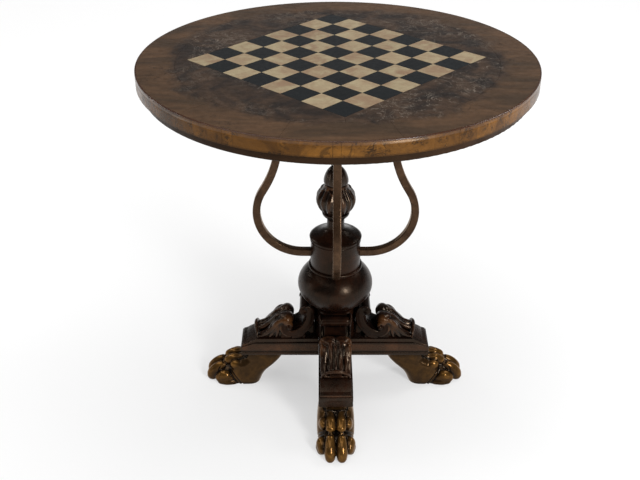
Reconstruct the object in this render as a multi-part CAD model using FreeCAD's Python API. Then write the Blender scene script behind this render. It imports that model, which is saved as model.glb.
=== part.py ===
import FreeCAD, Part
import math
import os

os.makedirs("parts", exist_ok=True)

# Round games table on a carved pedestal, in millimetres.
# The origin is on the floor under the middle of the post, +Z is up and the front is -Y.

# Driving dimensions of the whole table
table_height = 762.0
top_diameter = 762.0
rail_clearance = 81.0
leg_count = 4

# Top: core, veneers, rim band and the apron panel below
veneer_thickness = 3.0
core_thickness = 25.0
band_thickness = 3.0
band_edge_radius = 1.6
band_segments = 12
border_segments = 12
field_share = 0.8058
square_share = 0.066
squares_per_side = 8
board_turn_degrees = 46.57
veneer_joint = 0.4
glue_gap = 0.2
apron_thickness = 18.0
apron_setback = 11.0
apron_edge_radius = 2.5

# Brackets: square bar, its feet under the apron panel and its mortise in the drum
bar_size = 16.0
bar_corner_radius = 2.5
bar_rise_on_drum = 27.0
bar_straight_run = 17.3
bulge_share = 0.254
bulge_lean_degrees = 32.0
return_share = 0.61
mortise_depth = 12.0
mortise_clearance = 0.2
foot_plate_length = 80.0
foot_plate_width = 32.0
foot_plate_thickness = 5.0
foot_plate_inner_reach = 32.0
foot_plate_corner_radius = 6.0
stud_radius = 3.5
stud_depth_in_bar = 22.0
stud_inner_distance = 12.0

# Post, from the hub upwards
hub_width = 72.0
hub_height = 119.0
pillar_radius = 45.5
pillar_edge_radius = 3.0
ball_radius = 81.0
ball_half_height = 58.0
ball_centre_rise = 56.0
ball_height = 98.0
bead_ring_height = 8.0
bead_ring_radius = 58.0
drum_height = 57.0
drum_radius = 52.0
drum_foot_radius = 53.5
drum_swell = 0.5
collar_height = 8.0
collar_radius = 53.8
cap_height = 24.5
cap_radius = 55.2
cup_height = 35.5
cup_neck_radius = 18.3
cup_rim_radius = 28.7
calyx_height = 64.6
calyx_radius = 41.0
calyx_mouth_radius = 25.8
bud_height = 42.4
bud_spigot_radius = 10.0
bud_spigot_length = 12.0

# Tie rod through the post
rod_radius = 5.0
rod_clearance = 0.5
rod_end_rise_in_calyx = 40.0
nut_width = 17.0
nut_height = 8.0
washer_radius = 12.0
washer_thickness = 2.0
nut_recess_radius = 14.0

# Rails
rail_width = 72.0
rail_height = 44.0
rail_end_distance = 210.0
rail_slope_length = 34.0
rail_nose_height = 27.5
rail_shoulder_drop = 10.0
rail_nose_drop = 4.5
rail_step = 3.0
rail_groove_rise = 9.0
rail_groove_height = 7.0
rail_groove_depth = 2.5

# Scroll carving on each rail
scroll_radius_share = 0.6267
scroll_lift_share = 0.1
scroll_band = 9.5
scroll_width = 72.0
scroll_web_width = 40.0
scroll_web_setback_share = 0.4
scroll_hub_gap = 0.5
scroll_curl_share = 0.415
scroll_curl_shift_share = 0.128
scroll_curl_degrees = 70.0
volute_share = 0.3085
volute_distance_share = 0.755
volute_degrees = 148.0
scroll_base_width = 62.0

# Leaf carving on each rail
leaf_width = 68.0
leaf_length = 95.0
leaf_height_share = 0.7733
leaf_overhang = 3.0
leaf_fit_gap = 0.3

# Paw feet
paw_length = 174.0
paw_reach_share = 0.4684
paw_core_width = 66.0
middle_toe_spread = 10.5
outer_toe_spread = 26.5
middle_knuckle_radius = 15.0
outer_knuckle_radius = 11.5
middle_toe_radius = 13.0
outer_toe_radius = 12.5

# Fasteners and dowels
dowel_radius = 5.0
dowel_reach = 20.0
dowel_clearance = 0.2
dowel_spacing = 20.0
dowel_low_rise = 12.0
paw_dowel_reach = 20.0
screw_radius = 2.5
screw_clearance = 0.1
screw_head_radius = 5.0
screw_head_height = 3.0
screw_head_gap = 1.0
carving_screw_length = 54.0
apron_screw_length = 31.0
apron_screw_inset = 40.0
apron_screw_count = 8
foot_screw_length = 18.0

# One overrun serves all cuts
overrun = 5.0

# Heights and radii that follow
top_radius = top_diameter / 2
core_top = table_height - veneer_thickness
core_base = core_top - core_thickness
apron_base = core_base - apron_thickness
plate_base = apron_base - foot_plate_thickness
hub_top = rail_clearance + hub_height
ball_top = hub_top + ball_height
bead_ring_top = ball_top + bead_ring_height
drum_top = bead_ring_top + drum_height
collar_top = drum_top + collar_height
cap_top = collar_top + cap_height
cup_top = cap_top + cup_height
calyx_top = cup_top + calyx_height
bar_height = bead_ring_top + bar_rise_on_drum
bracket_height = plate_base - bar_height
bulge_radius = bracket_height * bulge_share
return_radius = bracket_height * return_share
rail_top = rail_clearance + rail_height
hub_face = hub_width / 2
bore_radius = rod_radius + rod_clearance
square_size = top_diameter * square_share
board_half = square_size * squares_per_side / 2
pillar_height = hub_height - rail_height
scroll_radius = pillar_height * scroll_radius_share
scroll_lift = pillar_height * scroll_lift_share
scroll_curl_radius = scroll_radius * scroll_curl_share
scroll_curl_shift = scroll_radius * scroll_curl_shift_share
volute_radius = scroll_radius * volute_share
volute_distance = scroll_radius * volute_distance_share
leaf_height = pillar_height * leaf_height_share
scroll_centre = (pillar_radius + scroll_hub_gap + scroll_radius, rail_top + scroll_lift + scroll_radius)
paw_tip = rail_end_distance + paw_length * paw_reach_share
paw_start = paw_tip - paw_length

quarter_turn = 90.0
full_turn = 360.0
up = FreeCAD.Vector(0, 0, 1)
middle = FreeCAD.Vector(0, 0, 0)


# Helpers
def at(x, z, y=0):
    return FreeCAD.Vector(x, y, z)


def polar(centre, distance, degrees):
    angle = math.radians(degrees)
    return (centre[0] + distance * math.cos(angle), centre[1] + distance * math.sin(angle))


def line(start, end):
    return Part.makeLine(start, end)


def arc(centre, radius, first_degrees, last_degrees):
    """Arc in the XZ plane, given by its centre and two angles."""
    points = []
    for share in (0, 0.5, 1):
        degrees = first_degrees + share * (last_degrees - first_degrees)
        points.append(at(*polar(centre, radius, degrees)))
    return Part.Arc(*points).toShape()


def curve(points):
    """Smooth curve through the points."""
    spline = Part.BSplineCurve()
    spline.interpolate(points)
    return spline.toShape()


def shared_points(shares, width, height, left, base, y=0):
    """Points from shares of a width and a height."""
    return [at(left + across * width, base + rise * height, y) for across, rise in shares]


def polygon_face(points):
    return Part.Face(Part.makePolygon(points + points[:1]))


def slab(face, width):
    """Face of the XZ plane made into a slab of this width, centred on the plane."""
    half = FreeCAD.Vector(0, width / 2, 0)
    face = face.copy()
    face.translate(half * -1)
    return face.extrude(half * 2)


def start_of(edge):
    return edge.valueAt(edge.FirstParameter)


def end_of(edge):
    return edge.valueAt(edge.LastParameter)


def turned(outline, bore):
    """Outline edges, bottom to top, spun about the post's axis round a bore."""
    first = start_of(outline[0])
    last = end_of(outline[-1])
    inner_top = at(bore, last.z)
    inner_base = at(bore, first.z)
    edges = outline + [line(last, inner_top), line(inner_top, inner_base), line(inner_base, first)]
    return Part.Face(Part.Wire(edges)).revolve(middle, up, full_turn)


def upright(radius, base, height, x=0, y=0):
    return Part.makeCylinder(radius, height, at(x, base, y), up)


def lying(radius, length, x, z, y=0):
    """Cylinder that runs outwards along X."""
    return Part.makeCylinder(radius, length, at(x, z, y), FreeCAD.Vector(1, 0, 0))


def crosswise(radius, width, centre):
    """Cylinder that lies across a leg, centred on it."""
    return Part.makeCylinder(radius, width, at(centre[0], centre[1], -width / 2), FreeCAD.Vector(0, 1, 0))


def block(x, y, z, low_x, low_y, low_z):
    return Part.makeBox(x, y, z, FreeCAD.Vector(low_x, low_y, low_z))


def around(shape, degrees):
    """Copy of the shape turned about the post's axis."""
    copy = shape.copy()
    copy.rotate(middle, up, degrees)
    return copy


def ring_of(shape, count, first_degrees=0):
    """As many copies of the shape, evenly spaced about the post's axis."""
    return [around(shape, first_degrees + full_turn * i / count) for i in range(count)]


def without(shape, cutters):
    return shape.cut(cutters).removeSplitter() if cutters else shape


def write(name, shapes):
    solids = [solid for shape in shapes for solid in shape.Solids]
    body = solids[0] if len(solids) == 1 else Part.makeCompound(solids)
    if not body.isValid():
        raise ValueError("shape is not valid: " + name)
    body.exportStep("parts/" + name + ".step")
    print(name, len(solids), round(body.Volume))


def joint_slits(count, inner, first_degrees=0):
    """Thin radial blocks that part a veneer ring into pieces."""
    length = top_radius - inner + overrun
    height = veneer_thickness + core_thickness + overrun * 2
    slit = block(length, veneer_joint, height, inner, -veneer_joint / 2, core_base - overrun)
    return ring_of(slit, count, first_degrees)


# Top
def countersunk_screw(length):
    """Screw with its head down, standing on the plane z = 0."""
    shank = upright(screw_radius, 0, length)
    return upright(screw_head_radius, 0, screw_head_height).fuse(shank).removeSplitter()


def screw_hole(length, head_depth):
    """Space for a screw: a head recess of this depth and a bore above it."""
    head = upright(screw_head_radius + screw_clearance, -overrun, head_depth + overrun)
    shank = upright(screw_radius + screw_clearance, 0, length + screw_clearance)
    return head.fuse(shank)


def placed(shape, x, z, y=0):
    copy = shape.copy()
    copy.translate(at(x, z, y))
    return copy


apron_radius = top_radius - apron_setback
apron_screw_distance = apron_radius - apron_screw_inset
apron_screw_base = apron_base + screw_head_gap
apron_screw_places = placed(countersunk_screw(apron_screw_length), apron_screw_distance, apron_screw_base)
apron_screw_hole = placed(
    screw_hole(apron_screw_length, screw_head_height), apron_screw_distance, apron_screw_base)
apron_screw_turn = full_turn / apron_screw_count / 2


def make_top():
    core_radius = top_radius - band_thickness - glue_gap
    screw_holes = ring_of(apron_screw_hole, apron_screw_count, apron_screw_turn)
    core = upright(core_radius, core_base, core_thickness)
    write("top_core", [without(core, screw_holes)])

    band_height = core_thickness + veneer_thickness
    band = upright(top_radius, core_base, band_height)
    rim = [edge for edge in band.Edges if edge.BoundBox.ZMin > core_top]
    band = band.makeFillet(band_edge_radius, rim)
    hollow = upright(top_radius - band_thickness, core_base - overrun, band_height + overrun * 2)
    write("edge_band", [band.cut([hollow] + joint_slits(band_segments, hub_face))])

    field_radius = top_radius * field_share
    border = upright(core_radius, core_top, veneer_thickness)
    inside = upright(field_radius + veneer_joint / 2, core_top - overrun, veneer_thickness + overrun * 2)
    half_segment = full_turn / border_segments / 2
    slits = joint_slits(border_segments, hub_face, half_segment)
    write("border_veneer", [border.cut([inside] + slits)])

    field = upright(field_radius - veneer_joint / 2, core_top, veneer_thickness)
    hole_half = board_half + veneer_joint / 2
    hole = block(hole_half * 2, hole_half * 2, veneer_thickness + overrun * 2, -hole_half, -hole_half,
                 core_top - overrun)
    corner_turn = board_turn_degrees + quarter_turn / 2
    corner_slits = joint_slits(leg_count, hub_face, corner_turn)
    write("field_veneer", [field.cut([around(hole, board_turn_degrees)] + corner_slits)])


def make_squares():
    side = square_size - veneer_joint
    light, dark = [], []
    for column in range(squares_per_side):
        for row in range(squares_per_side):
            low_x = column * square_size - board_half + veneer_joint / 2
            low_y = row * square_size - board_half + veneer_joint / 2
            tile = around(block(side, side, veneer_thickness, low_x, low_y, core_top), board_turn_degrees)
            group = light if (column + row) % 2 else dark
            group.append(tile)
    write("light_squares", light)
    write("dark_squares", dark)


def make_apron(foot_screw_holes):
    panel = upright(apron_radius, apron_base, apron_thickness)
    lower = [edge for edge in panel.Edges if edge.BoundBox.ZMax < apron_base + glue_gap]
    panel = panel.makeFillet(apron_edge_radius, lower)
    screw_holes = ring_of(apron_screw_hole, apron_screw_count, apron_screw_turn)
    write("apron_panel", [without(panel, screw_holes + foot_screw_holes)])
    write("apron_screws", ring_of(apron_screw_places, apron_screw_count, apron_screw_turn))


# Brackets: side path of the square bar, from the drum up to the foot plate
bulge_centre = (drum_radius + bar_straight_run, bar_height + bulge_radius)
lean_end = polar(bulge_centre, bulge_radius, bulge_lean_degrees)
return_centre = polar(lean_end, return_radius, bulge_lean_degrees)
bar_top_distance = return_centre[0] - return_radius
bar_inner_end = drum_radius - mortise_depth + mortise_clearance
foot_screw_distances = (
    bar_top_distance - (bar_size / 2 + foot_plate_inner_reach) / 2,
    bar_top_distance + (bar_size / 2 + foot_plate_length - foot_plate_inner_reach) / 2,
)


def rounded_square(size, radius):
    square = block(size, size, size, -size / 2, -size / 2, 0)
    return square.makeFillet(radius, [edge for edge in square.Edges if edge.BoundBox.ZLength > size / 2])


def bracket_bar():
    """Square bar swept along its bent path in the plane of +X."""
    foot = at(bar_top_distance, plate_base)
    inner_end = at(bar_inner_end, bar_height)
    path = Part.Wire([
        line(inner_end, at(bulge_centre[0], bar_height)),
        arc(bulge_centre, bulge_radius, -quarter_turn, bulge_lean_degrees),
        arc(return_centre, return_radius, quarter_turn * 2 + bulge_lean_degrees, quarter_turn * 2),
        line(at(bar_top_distance, return_centre[1]), foot),
    ])
    section = [face for face in rounded_square(bar_size, bar_corner_radius).Faces
               if face.BoundBox.ZMax < bar_corner_radius][0].OuterWire
    section.rotate(middle, FreeCAD.Vector(0, 1, 0), quarter_turn)
    section.translate(inner_end)
    return path.makePipeShell([section], True, False)


def make_brackets(names):
    stud_start = bar_inner_end + stud_depth_in_bar
    stud = lying(stud_radius, stud_start - stud_inner_distance, stud_inner_distance, bar_height)
    stud_hole = lying(stud_radius + screw_clearance, stud_start - stud_inner_distance + screw_clearance,
                      stud_inner_distance - screw_clearance, bar_height)
    bar = without(bracket_bar(), [stud_hole])

    plate = block(foot_plate_length, foot_plate_width, foot_plate_thickness,
                  bar_top_distance - foot_plate_inner_reach, -foot_plate_width / 2, plate_base)
    corners = [edge for edge in plate.Edges if edge.BoundBox.ZLength > foot_plate_thickness / 2]
    plate = plate.makeFillet(foot_plate_corner_radius, corners)
    screws, holes = [], []
    for distance in foot_screw_distances:
        base = plate_base - screw_head_height
        screws.append(placed(countersunk_screw(foot_screw_length + screw_head_height), distance, base))
        holes.append(upright(screw_radius + screw_clearance, plate_base - overrun,
                             foot_screw_length + screw_clearance + overrun, distance))
    plate = without(plate, holes)

    for i, name in enumerate(names):
        degrees = full_turn * i / leg_count
        write("bracket_" + name, [around(bar, degrees)])
        write("foot_plate_" + name, [around(plate, degrees)])
    write("foot_plate_screws", [copy for screw in screws for copy in ring_of(screw, leg_count)])
    write("bracket_studs", ring_of(stud, leg_count))
    mortise_size = bar_size + mortise_clearance * 2
    mortise = block(mortise_depth + overrun, mortise_size, mortise_size,
                    drum_radius - mortise_depth, -mortise_size / 2, bar_height - mortise_size / 2)
    drum_cuts = ring_of(mortise, leg_count) + ring_of(stud_hole, leg_count)
    return drum_cuts, [copy for hole in holes for copy in ring_of(hole, leg_count)]


# Post
cap_dome_shares = [(1.0, 0.08), (0.951, 0.19), (0.906, 0.25), (0.788, 0.35), (0.643, 0.49), (0.489, 0.69),
                   (0.385, 0.88), (0.353, 1.0)]
calyx_shares = [(0.69, 0.0), (0.83, 0.12), (0.97, 0.32), (1.0, 0.48), (0.94, 0.68), (0.8, 0.85), (0.63, 1.0)]
bud_shares = [(1.0, 0.0), (1.02, 0.12), (0.99, 0.3), (0.86, 0.56), (0.62, 0.8), (0.34, 0.94), (0.04, 1.0)]
cup_flare_shares = [(0.0, 0.45), (0.14, 0.6), (0.6, 0.74), (1.0, 1.0)]
cup_neck_share = 0.1


def make_ball():
    """Squashed ball with a flat seat at each end."""
    centre_height = hub_top + ball_centre_rise
    low = math.asin(-ball_centre_rise / ball_half_height)
    high = math.asin((ball_height - ball_centre_rise) / ball_half_height)
    points = []
    for share in (0, 0.1, 0.22, 0.34, 0.46, 0.58, 0.7, 0.8, 0.9, 1):
        angle = low + share * (high - low)
        points.append(at(ball_radius * math.cos(angle), centre_height + ball_half_height * math.sin(angle)))
    write("ball", [turned([curve(points)], bore_radius)])


def make_hub(cuts):
    crossing = block(hub_width, hub_width, rail_height, -hub_face, -hub_face, rail_clearance)
    pillar = upright(pillar_radius, rail_top, pillar_height)
    rims = [edge for edge in pillar.Edges if edge.BoundBox.ZMin > hub_top - glue_gap]
    hub = crossing.fuse(pillar.makeFillet(pillar_edge_radius, rims))
    recess_depth = nut_height + washer_thickness + screw_head_gap
    cuts = cuts + [
        upright(bore_radius, rail_clearance - overrun, hub_height + overrun * 2),
        upright(nut_recess_radius, rail_clearance - overrun, recess_depth + overrun),
    ]
    write("hub_block", [without(hub, cuts)])

    washer_base = rail_clearance + recess_depth - washer_thickness
    washer = upright(washer_radius, washer_base, washer_thickness)
    washer_hole = upright(bore_radius, washer_base - overrun, washer_thickness + overrun * 2)
    write("tie_washer", [washer.cut(washer_hole)])
    corner_radius = nut_width / 2 / math.cos(math.radians(full_turn / 12))
    corners = [at(corner_radius * math.cos(angle), washer_base - nut_height, corner_radius * math.sin(angle))
               for angle in [math.radians(full_turn * i / 6) for i in range(6)]]
    nut = polygon_face(corners).extrude(up * nut_height)
    rod_base = washer_base - nut_height - screw_head_gap / 2
    nut_hole = upright(rod_radius + screw_clearance, rod_base, nut_height + overrun)
    write("tie_nut", [nut.cut(nut_hole)])
    write("tie_rod", [upright(rod_radius, rod_base, cup_top + rod_end_rise_in_calyx - rod_base)])


def make_post(drum_cuts):
    make_ball()
    bead = bead_ring_height / 2
    neck = bead_ring_radius - bead
    bead_centre = (neck, ball_top + bead)
    write("bead_ring", [turned([arc(bead_centre, bead, -quarter_turn, quarter_turn)], bore_radius)])

    mid_height = (bead_ring_top + drum_top) / 2
    mid_radius = (drum_foot_radius + drum_radius) / 2 + drum_swell
    sides = Part.Arc(at(drum_foot_radius, bead_ring_top), at(mid_radius, mid_height),
                     at(drum_radius, drum_top)).toShape()
    write("drum", [without(turned([sides], bore_radius), drum_cuts)])

    groove_height = collar_height / 3
    levels = [drum_top, drum_top + groove_height, collar_top - groove_height, collar_top]
    outline = [
        line(at(collar_radius, levels[0]), at(collar_radius, levels[1])),
        arc((collar_radius, (levels[1] + levels[2]) / 2), groove_height / 2, -quarter_turn, -quarter_turn * 3),
        line(at(collar_radius, levels[2]), at(collar_radius, levels[3])),
    ]
    write("collar_ring", [turned(outline, bore_radius)])

    dome = shared_points(cap_dome_shares, cap_radius, cap_height, 0, collar_top)
    lip = Part.Arc(at(collar_radius, collar_top), at(cap_radius, (collar_top + dome[0].z) / 2),
                   dome[0]).toShape()
    write("domed_cap", [turned([lip, curve(dome)], bore_radius)])

    flare = shared_points(cup_flare_shares, cup_rim_radius - cup_neck_radius, cup_height, cup_neck_radius,
                          cap_top)
    cup_outline = [
        line(dome_top_point(), at(cup_neck_radius, cap_top + cup_height * cup_neck_share)),
        line(at(cup_neck_radius, cap_top + cup_height * cup_neck_share), flare[0]),
        curve(flare),
    ]
    write("finial_cup", [turned(cup_outline, bore_radius)])
    make_finial()


def dome_top_point():
    return at(cap_dome_shares[-1][0] * cap_radius, cap_top)


def make_finial():
    """Calyx of leaves round a smooth bud that stands in it on a spigot."""
    calyx = turned([curve(shared_points(calyx_shares, calyx_radius, calyx_height, 0, cup_top))], 0)
    calyx = calyx.cut([
        upright(bore_radius, cup_top - overrun, rod_end_rise_in_calyx + screw_head_gap + overrun),
        upright(bud_spigot_radius + glue_gap, calyx_top - bud_spigot_length - glue_gap,
                bud_spigot_length + overrun),
    ])
    write("finial_calyx", [calyx])
    bud = turned([curve(shared_points(bud_shares, calyx_mouth_radius, bud_height, 0, calyx_top))], 0)
    spigot = upright(bud_spigot_radius, calyx_top - bud_spigot_length, bud_spigot_length)
    write("finial_bud", [bud.fuse(spigot).removeSplitter()])


# Legs
leaf_top_shares = [(0.01, 0.68), (0.05, 0.88), (0.18, 1.0), (0.3, 0.95), (0.44, 0.75), (0.61, 0.4),
                   (0.77, 0.21), (0.85, 0.28), (0.9, 0.36), (0.96, 0.28), (1.0, 0.1)]
leaf_side_shares = [(0.01, 0.56), (0.05, 0.72), (0.18, 0.88), (0.3, 0.84), (0.44, 0.64), (0.61, 0.3),
                    (0.77, 0.04), (0.85, 0.08), (0.9, 0.13), (0.96, 0.1), (1.0, 0.03)]
leaf_under_shares = [(1.0, 0.0), (0.1, 0.0), (0.1, 0.5)]
paw_back_shares = [(0.0, 1.0), (0.08, 0.76), (0.165, 0.58), (0.25, 0.44), (0.31, 0.28), (0.35, 0.11),
                   (0.42, 0.02), (0.5, 0.0)]
paw_front_shares = [(0.86, 0.0), (0.88, 0.14), (0.82, 0.3), (0.7, 0.44), (0.59, 0.64), (0.53, 1.0)]
middle_knuckle_shares = [(0.48, 0.8), (0.67, 0.47)]
outer_knuckle_shares = [(0.44, 0.52), (0.6, 0.32)]
middle_toe_shares = [(0.83, 0.28), (0.925, 0.15)]
outer_toe_shares = [(0.73, 0.17), (0.82, 0.12)]
carving_screw_distances = (scroll_centre[0], scroll_centre[0] + leaf_length * 0.68)
paw_dowel_shares = (0.19, 0.072)


def capsule(start, end, radius):
    """Bar with round ends between two points, as one spun outline."""
    along = end - start
    length = along.Length
    outline = [
        arc((0, 0), radius, -quarter_turn, 0),
        line(at(radius, 0), at(radius, length)),
        arc((0, length), radius, 0, quarter_turn),
        line(at(0, length + radius), at(0, -radius)),
    ]
    body = Part.Face(Part.Wire(outline)).revolve(middle, up, full_turn)
    body.Placement = FreeCAD.Placement(start, FreeCAD.Rotation(up, along))
    return body


def paw_points(shares, spread=0):
    return shared_points(shares, paw_length, rail_clearance, paw_start, 0, spread)


def paw_solid():
    """Ankle and heel as one slab, with four toes of two lobes each."""
    back = paw_points(paw_back_shares)
    front = paw_points(paw_front_shares)
    outline = [curve(back), line(back[-1], front[0]), curve(front), line(front[-1], back[0])]
    core = slab(Part.Face(Part.Wire(outline)), paw_core_width)
    lobes = []
    for side in (-1, 1):
        for spread, knuckle, toe, knuckle_radius, toe_radius in (
                (middle_toe_spread, middle_knuckle_shares, middle_toe_shares, middle_knuckle_radius,
                 middle_toe_radius),
                (outer_toe_spread, outer_knuckle_shares, outer_toe_shares, outer_knuckle_radius,
                 outer_toe_radius)):
            lobes.append(capsule(*paw_points(knuckle, side * spread), knuckle_radius))
            lobes.append(capsule(*paw_points(toe, side * spread), toe_radius))
    reach = block(paw_length + overrun * 2, rail_width * 2, rail_clearance, paw_start - overrun, -rail_width, 0)
    return core.fuse(lobes).common(reach).removeSplitter()


def rail_outline(top, nose_top, nose):
    """Side outline of a rail: level top, curved slope and upright nose."""
    slope_start = nose - rail_slope_length
    fall = top - nose_top
    slope = curve([
        at(slope_start, top),
        at(slope_start + rail_slope_length / 3, top - fall / 3),
        at(nose - rail_slope_length / 4, nose_top + fall / 6),
        at(nose, nose_top),
    ])
    return Part.Face(Part.Wire([
        line(at(hub_face, rail_clearance), at(hub_face, top)),
        line(at(hub_face, top), at(slope_start, top)),
        slope,
        line(at(nose, nose_top), at(nose, rail_clearance)),
        line(at(nose, rail_clearance), at(hub_face, rail_clearance)),
    ]))


def rail_solid(cuts):
    """Beam with a narrower top step, a curved slope at its end and a groove along each side."""
    nose_top = rail_clearance + rail_nose_height
    lower = slab(rail_outline(rail_top - rail_shoulder_drop, nose_top - rail_nose_drop, rail_end_distance),
                 rail_width)
    upper = slab(rail_outline(rail_top, nose_top, rail_end_distance - rail_step),
                 rail_width - rail_step * 2)
    groove_length = rail_end_distance - rail_shoulder_drop - hub_face
    groove = block(groove_length + overrun, rail_groove_depth * 2, rail_groove_height,
                   hub_face - overrun, -rail_width / 2 - rail_groove_depth,
                   rail_clearance + rail_groove_rise)
    other = groove.copy()
    other.translate(at(0, 0, rail_width))
    return without(lower.fuse(upper).removeSplitter(), [groove, other] + cuts)


def scroll_outline(outset):
    """Edges of the scroll's C on one side of its band, from the volute round to the curl's tip."""
    curl_centre = (scroll_centre[0] + scroll_curl_shift,
                   scroll_centre[1] - scroll_radius + scroll_curl_radius)
    big = scroll_radius + outset
    small = scroll_curl_radius + outset
    bottom = scroll_centre[1] - big
    return [
        arc(scroll_centre, big, volute_degrees, full_turn - quarter_turn),
        line(at(scroll_centre[0], bottom), at(curl_centre[0], bottom)),
        arc(curl_centre, small, -quarter_turn, scroll_curl_degrees),
    ]


def scroll_solid(grow):
    """C-shaped scroll with a volute roll, a curl, a thin web inside it and a base on the rail."""
    outer = scroll_outline(grow)
    inner = scroll_outline(-scroll_band - grow)
    band = Part.Wire(outer + [line(end_of(outer[-1]), end_of(inner[-1]))] + inner[::-1]
                     + [line(start_of(inner[0]), start_of(outer[0]))])
    body = slab(Part.Face(band), scroll_width + grow * 2)
    roll = crosswise(volute_radius + grow, scroll_width + grow * 2,
                     polar(scroll_centre, volute_distance, volute_degrees))
    web = crosswise(scroll_radius - scroll_band / 2, scroll_web_width, scroll_centre)
    web_end = scroll_centre[0] - scroll_radius * scroll_web_setback_share
    web_cut = block(scroll_radius * 2, scroll_width, scroll_radius * 2, web_end,
                    -scroll_width / 2, scroll_centre[1] - scroll_radius)
    base = block(scroll_radius + scroll_band + grow, scroll_base_width + grow * 2, scroll_lift + scroll_band,
                 scroll_centre[0] - scroll_radius / 2, -scroll_base_width / 2 - grow, rail_top)
    return body.fuse([roll, web.cut(web_cut), base]).removeSplitter()


def leaf_wire(shares, y):
    left = scroll_centre[0] - leaf_overhang
    top = shared_points(shares, leaf_length, leaf_height, left, rail_top, y)
    under = shared_points(leaf_under_shares, leaf_length, leaf_height, left, rail_top, y)
    edges = [curve(top), line(top[-1], under[0]), line(under[0], under[1]), line(under[1], under[2]),
             line(under[2], top[0])]
    return Part.Wire(edges)


def leaf_solid(cuts):
    """Leaf that falls from the scroll's crest to a small curl on the rail, domed across."""
    sections = [
        leaf_wire(leaf_side_shares, -leaf_width / 2),
        leaf_wire(leaf_top_shares, 0),
        leaf_wire(leaf_side_shares, leaf_width / 2),
    ]
    leaf = Part.makeLoft(sections, True, False)
    return leaf.cut([scroll_solid(leaf_fit_gap)] + cuts)


def make_legs(names):
    rail_dowel_heights = (rail_clearance + dowel_low_rise, rail_clearance + dowel_low_rise + dowel_spacing)
    dowel_holes = [lying(dowel_radius + dowel_clearance, (dowel_reach + dowel_clearance) * 2,
                         hub_face - dowel_reach - dowel_clearance, height) for height in rail_dowel_heights]
    dowels = [lying(dowel_radius, dowel_reach * 2, hub_face - dowel_reach, height)
              for height in rail_dowel_heights]
    paw_dowel_places = [rail_end_distance - share * paw_length for share in paw_dowel_shares]
    paw_dowels = [upright(dowel_radius, rail_clearance - paw_dowel_reach, paw_dowel_reach * 2, place)
                  for place in paw_dowel_places]
    paw_dowel_holes = [upright(dowel_radius + dowel_clearance,
                               rail_clearance - paw_dowel_reach - dowel_clearance,
                               (paw_dowel_reach + dowel_clearance) * 2, place)
                       for place in paw_dowel_places]
    screw_base = rail_clearance + screw_head_gap
    screws = [placed(countersunk_screw(carving_screw_length), distance, screw_base)
              for distance in carving_screw_distances]
    screw_holes = [placed(screw_hole(carving_screw_length, screw_head_height), distance, screw_base)
                   for distance in carving_screw_distances]
    rail = rail_solid(dowel_holes + paw_dowel_holes + screw_holes)
    scroll = without(scroll_solid(0), screw_holes)
    leaf = leaf_solid(screw_holes)
    paw = without(paw_solid(), paw_dowel_holes)
    for i, name in enumerate(names):
        degrees = full_turn * i / leg_count
        write("rail_" + name, [around(rail, degrees)])
        write("scroll_" + name, [around(scroll, degrees)])
        write("leaf_" + name, [around(leaf, degrees)])
        write("paw_" + name, [around(paw, degrees)])
    write("rail_dowels", [copy for dowel in dowels for copy in ring_of(dowel, leg_count)])
    write("paw_dowels", [copy for dowel in paw_dowels for copy in ring_of(dowel, leg_count)])
    write("carving_screws", [copy for screw in screws for copy in ring_of(screw, leg_count)])
    return [copy for hole in dowel_holes for copy in ring_of(hole, leg_count)]


def main():
    side_names = ("right", "back", "left", "front")
    make_top()
    make_squares()
    drum_cuts, foot_screw_holes = make_brackets(side_names)
    make_apron(foot_screw_holes)
    make_post(drum_cuts)
    hub_cuts = make_legs(side_names)
    make_hub(hub_cuts)


main()
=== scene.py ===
import math

import bmesh
import bpy
import numpy as np
from bpy.props import FloatProperty, FloatVectorProperty, IntProperty, PointerProperty
from mathutils import Matrix, Vector
from mathutils.kdtree import KDTree


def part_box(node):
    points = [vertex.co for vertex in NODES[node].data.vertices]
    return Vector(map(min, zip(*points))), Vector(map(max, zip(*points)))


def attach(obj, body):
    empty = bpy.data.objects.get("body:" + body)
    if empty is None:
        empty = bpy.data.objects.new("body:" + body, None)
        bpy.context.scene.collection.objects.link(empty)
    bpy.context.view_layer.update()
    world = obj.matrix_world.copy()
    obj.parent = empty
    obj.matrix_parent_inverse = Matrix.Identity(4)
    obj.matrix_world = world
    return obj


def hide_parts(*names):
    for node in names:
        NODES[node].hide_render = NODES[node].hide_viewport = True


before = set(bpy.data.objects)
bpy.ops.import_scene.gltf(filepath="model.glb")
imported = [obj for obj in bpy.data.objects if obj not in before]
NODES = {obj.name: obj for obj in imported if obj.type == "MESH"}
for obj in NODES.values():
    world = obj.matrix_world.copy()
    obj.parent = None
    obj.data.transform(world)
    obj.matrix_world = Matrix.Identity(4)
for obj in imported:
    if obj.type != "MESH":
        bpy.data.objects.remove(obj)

bl_info = {
    "name": "Carved games table",
    "version": (1, 0, 0),
    "blender": (4, 5, 0),
    "location": "View3D > Sidebar > Games table",
    "description": "Carvings, finishes and studio for a round pedestal games table",
    "category": "Object",
}

MM = 0.001
WELD = 1e-6
RIM_LOW, RIM_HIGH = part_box("edge_band")
RAIL_LOW, RAIL_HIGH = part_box("rail_right")
PAW_LOW, PAW_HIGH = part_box("paw_right")
LEG_TURNS = {"right": 0, "back": 90, "left": 180, "front": 270}


def tone(red, green, blue):
    """Colour as read on a screen, 0 to 255, turned into the linear values that shaders take."""
    shares = [value / 255 for value in (red, green, blue)]
    return tuple(s / 12.92 if s <= 0.04045 else ((s + 0.055) / 1.055) ** 2.4 for s in shares)


def shaded(colour, factor):
    """A colour made darker or lighter."""
    return tuple(value * factor for value in colour)


def tint(name, description, value):
    return FloatVectorProperty(name=name, description=description, subtype="COLOR", size=3,
                               min=0.0, max=1.0, default=value)


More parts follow.
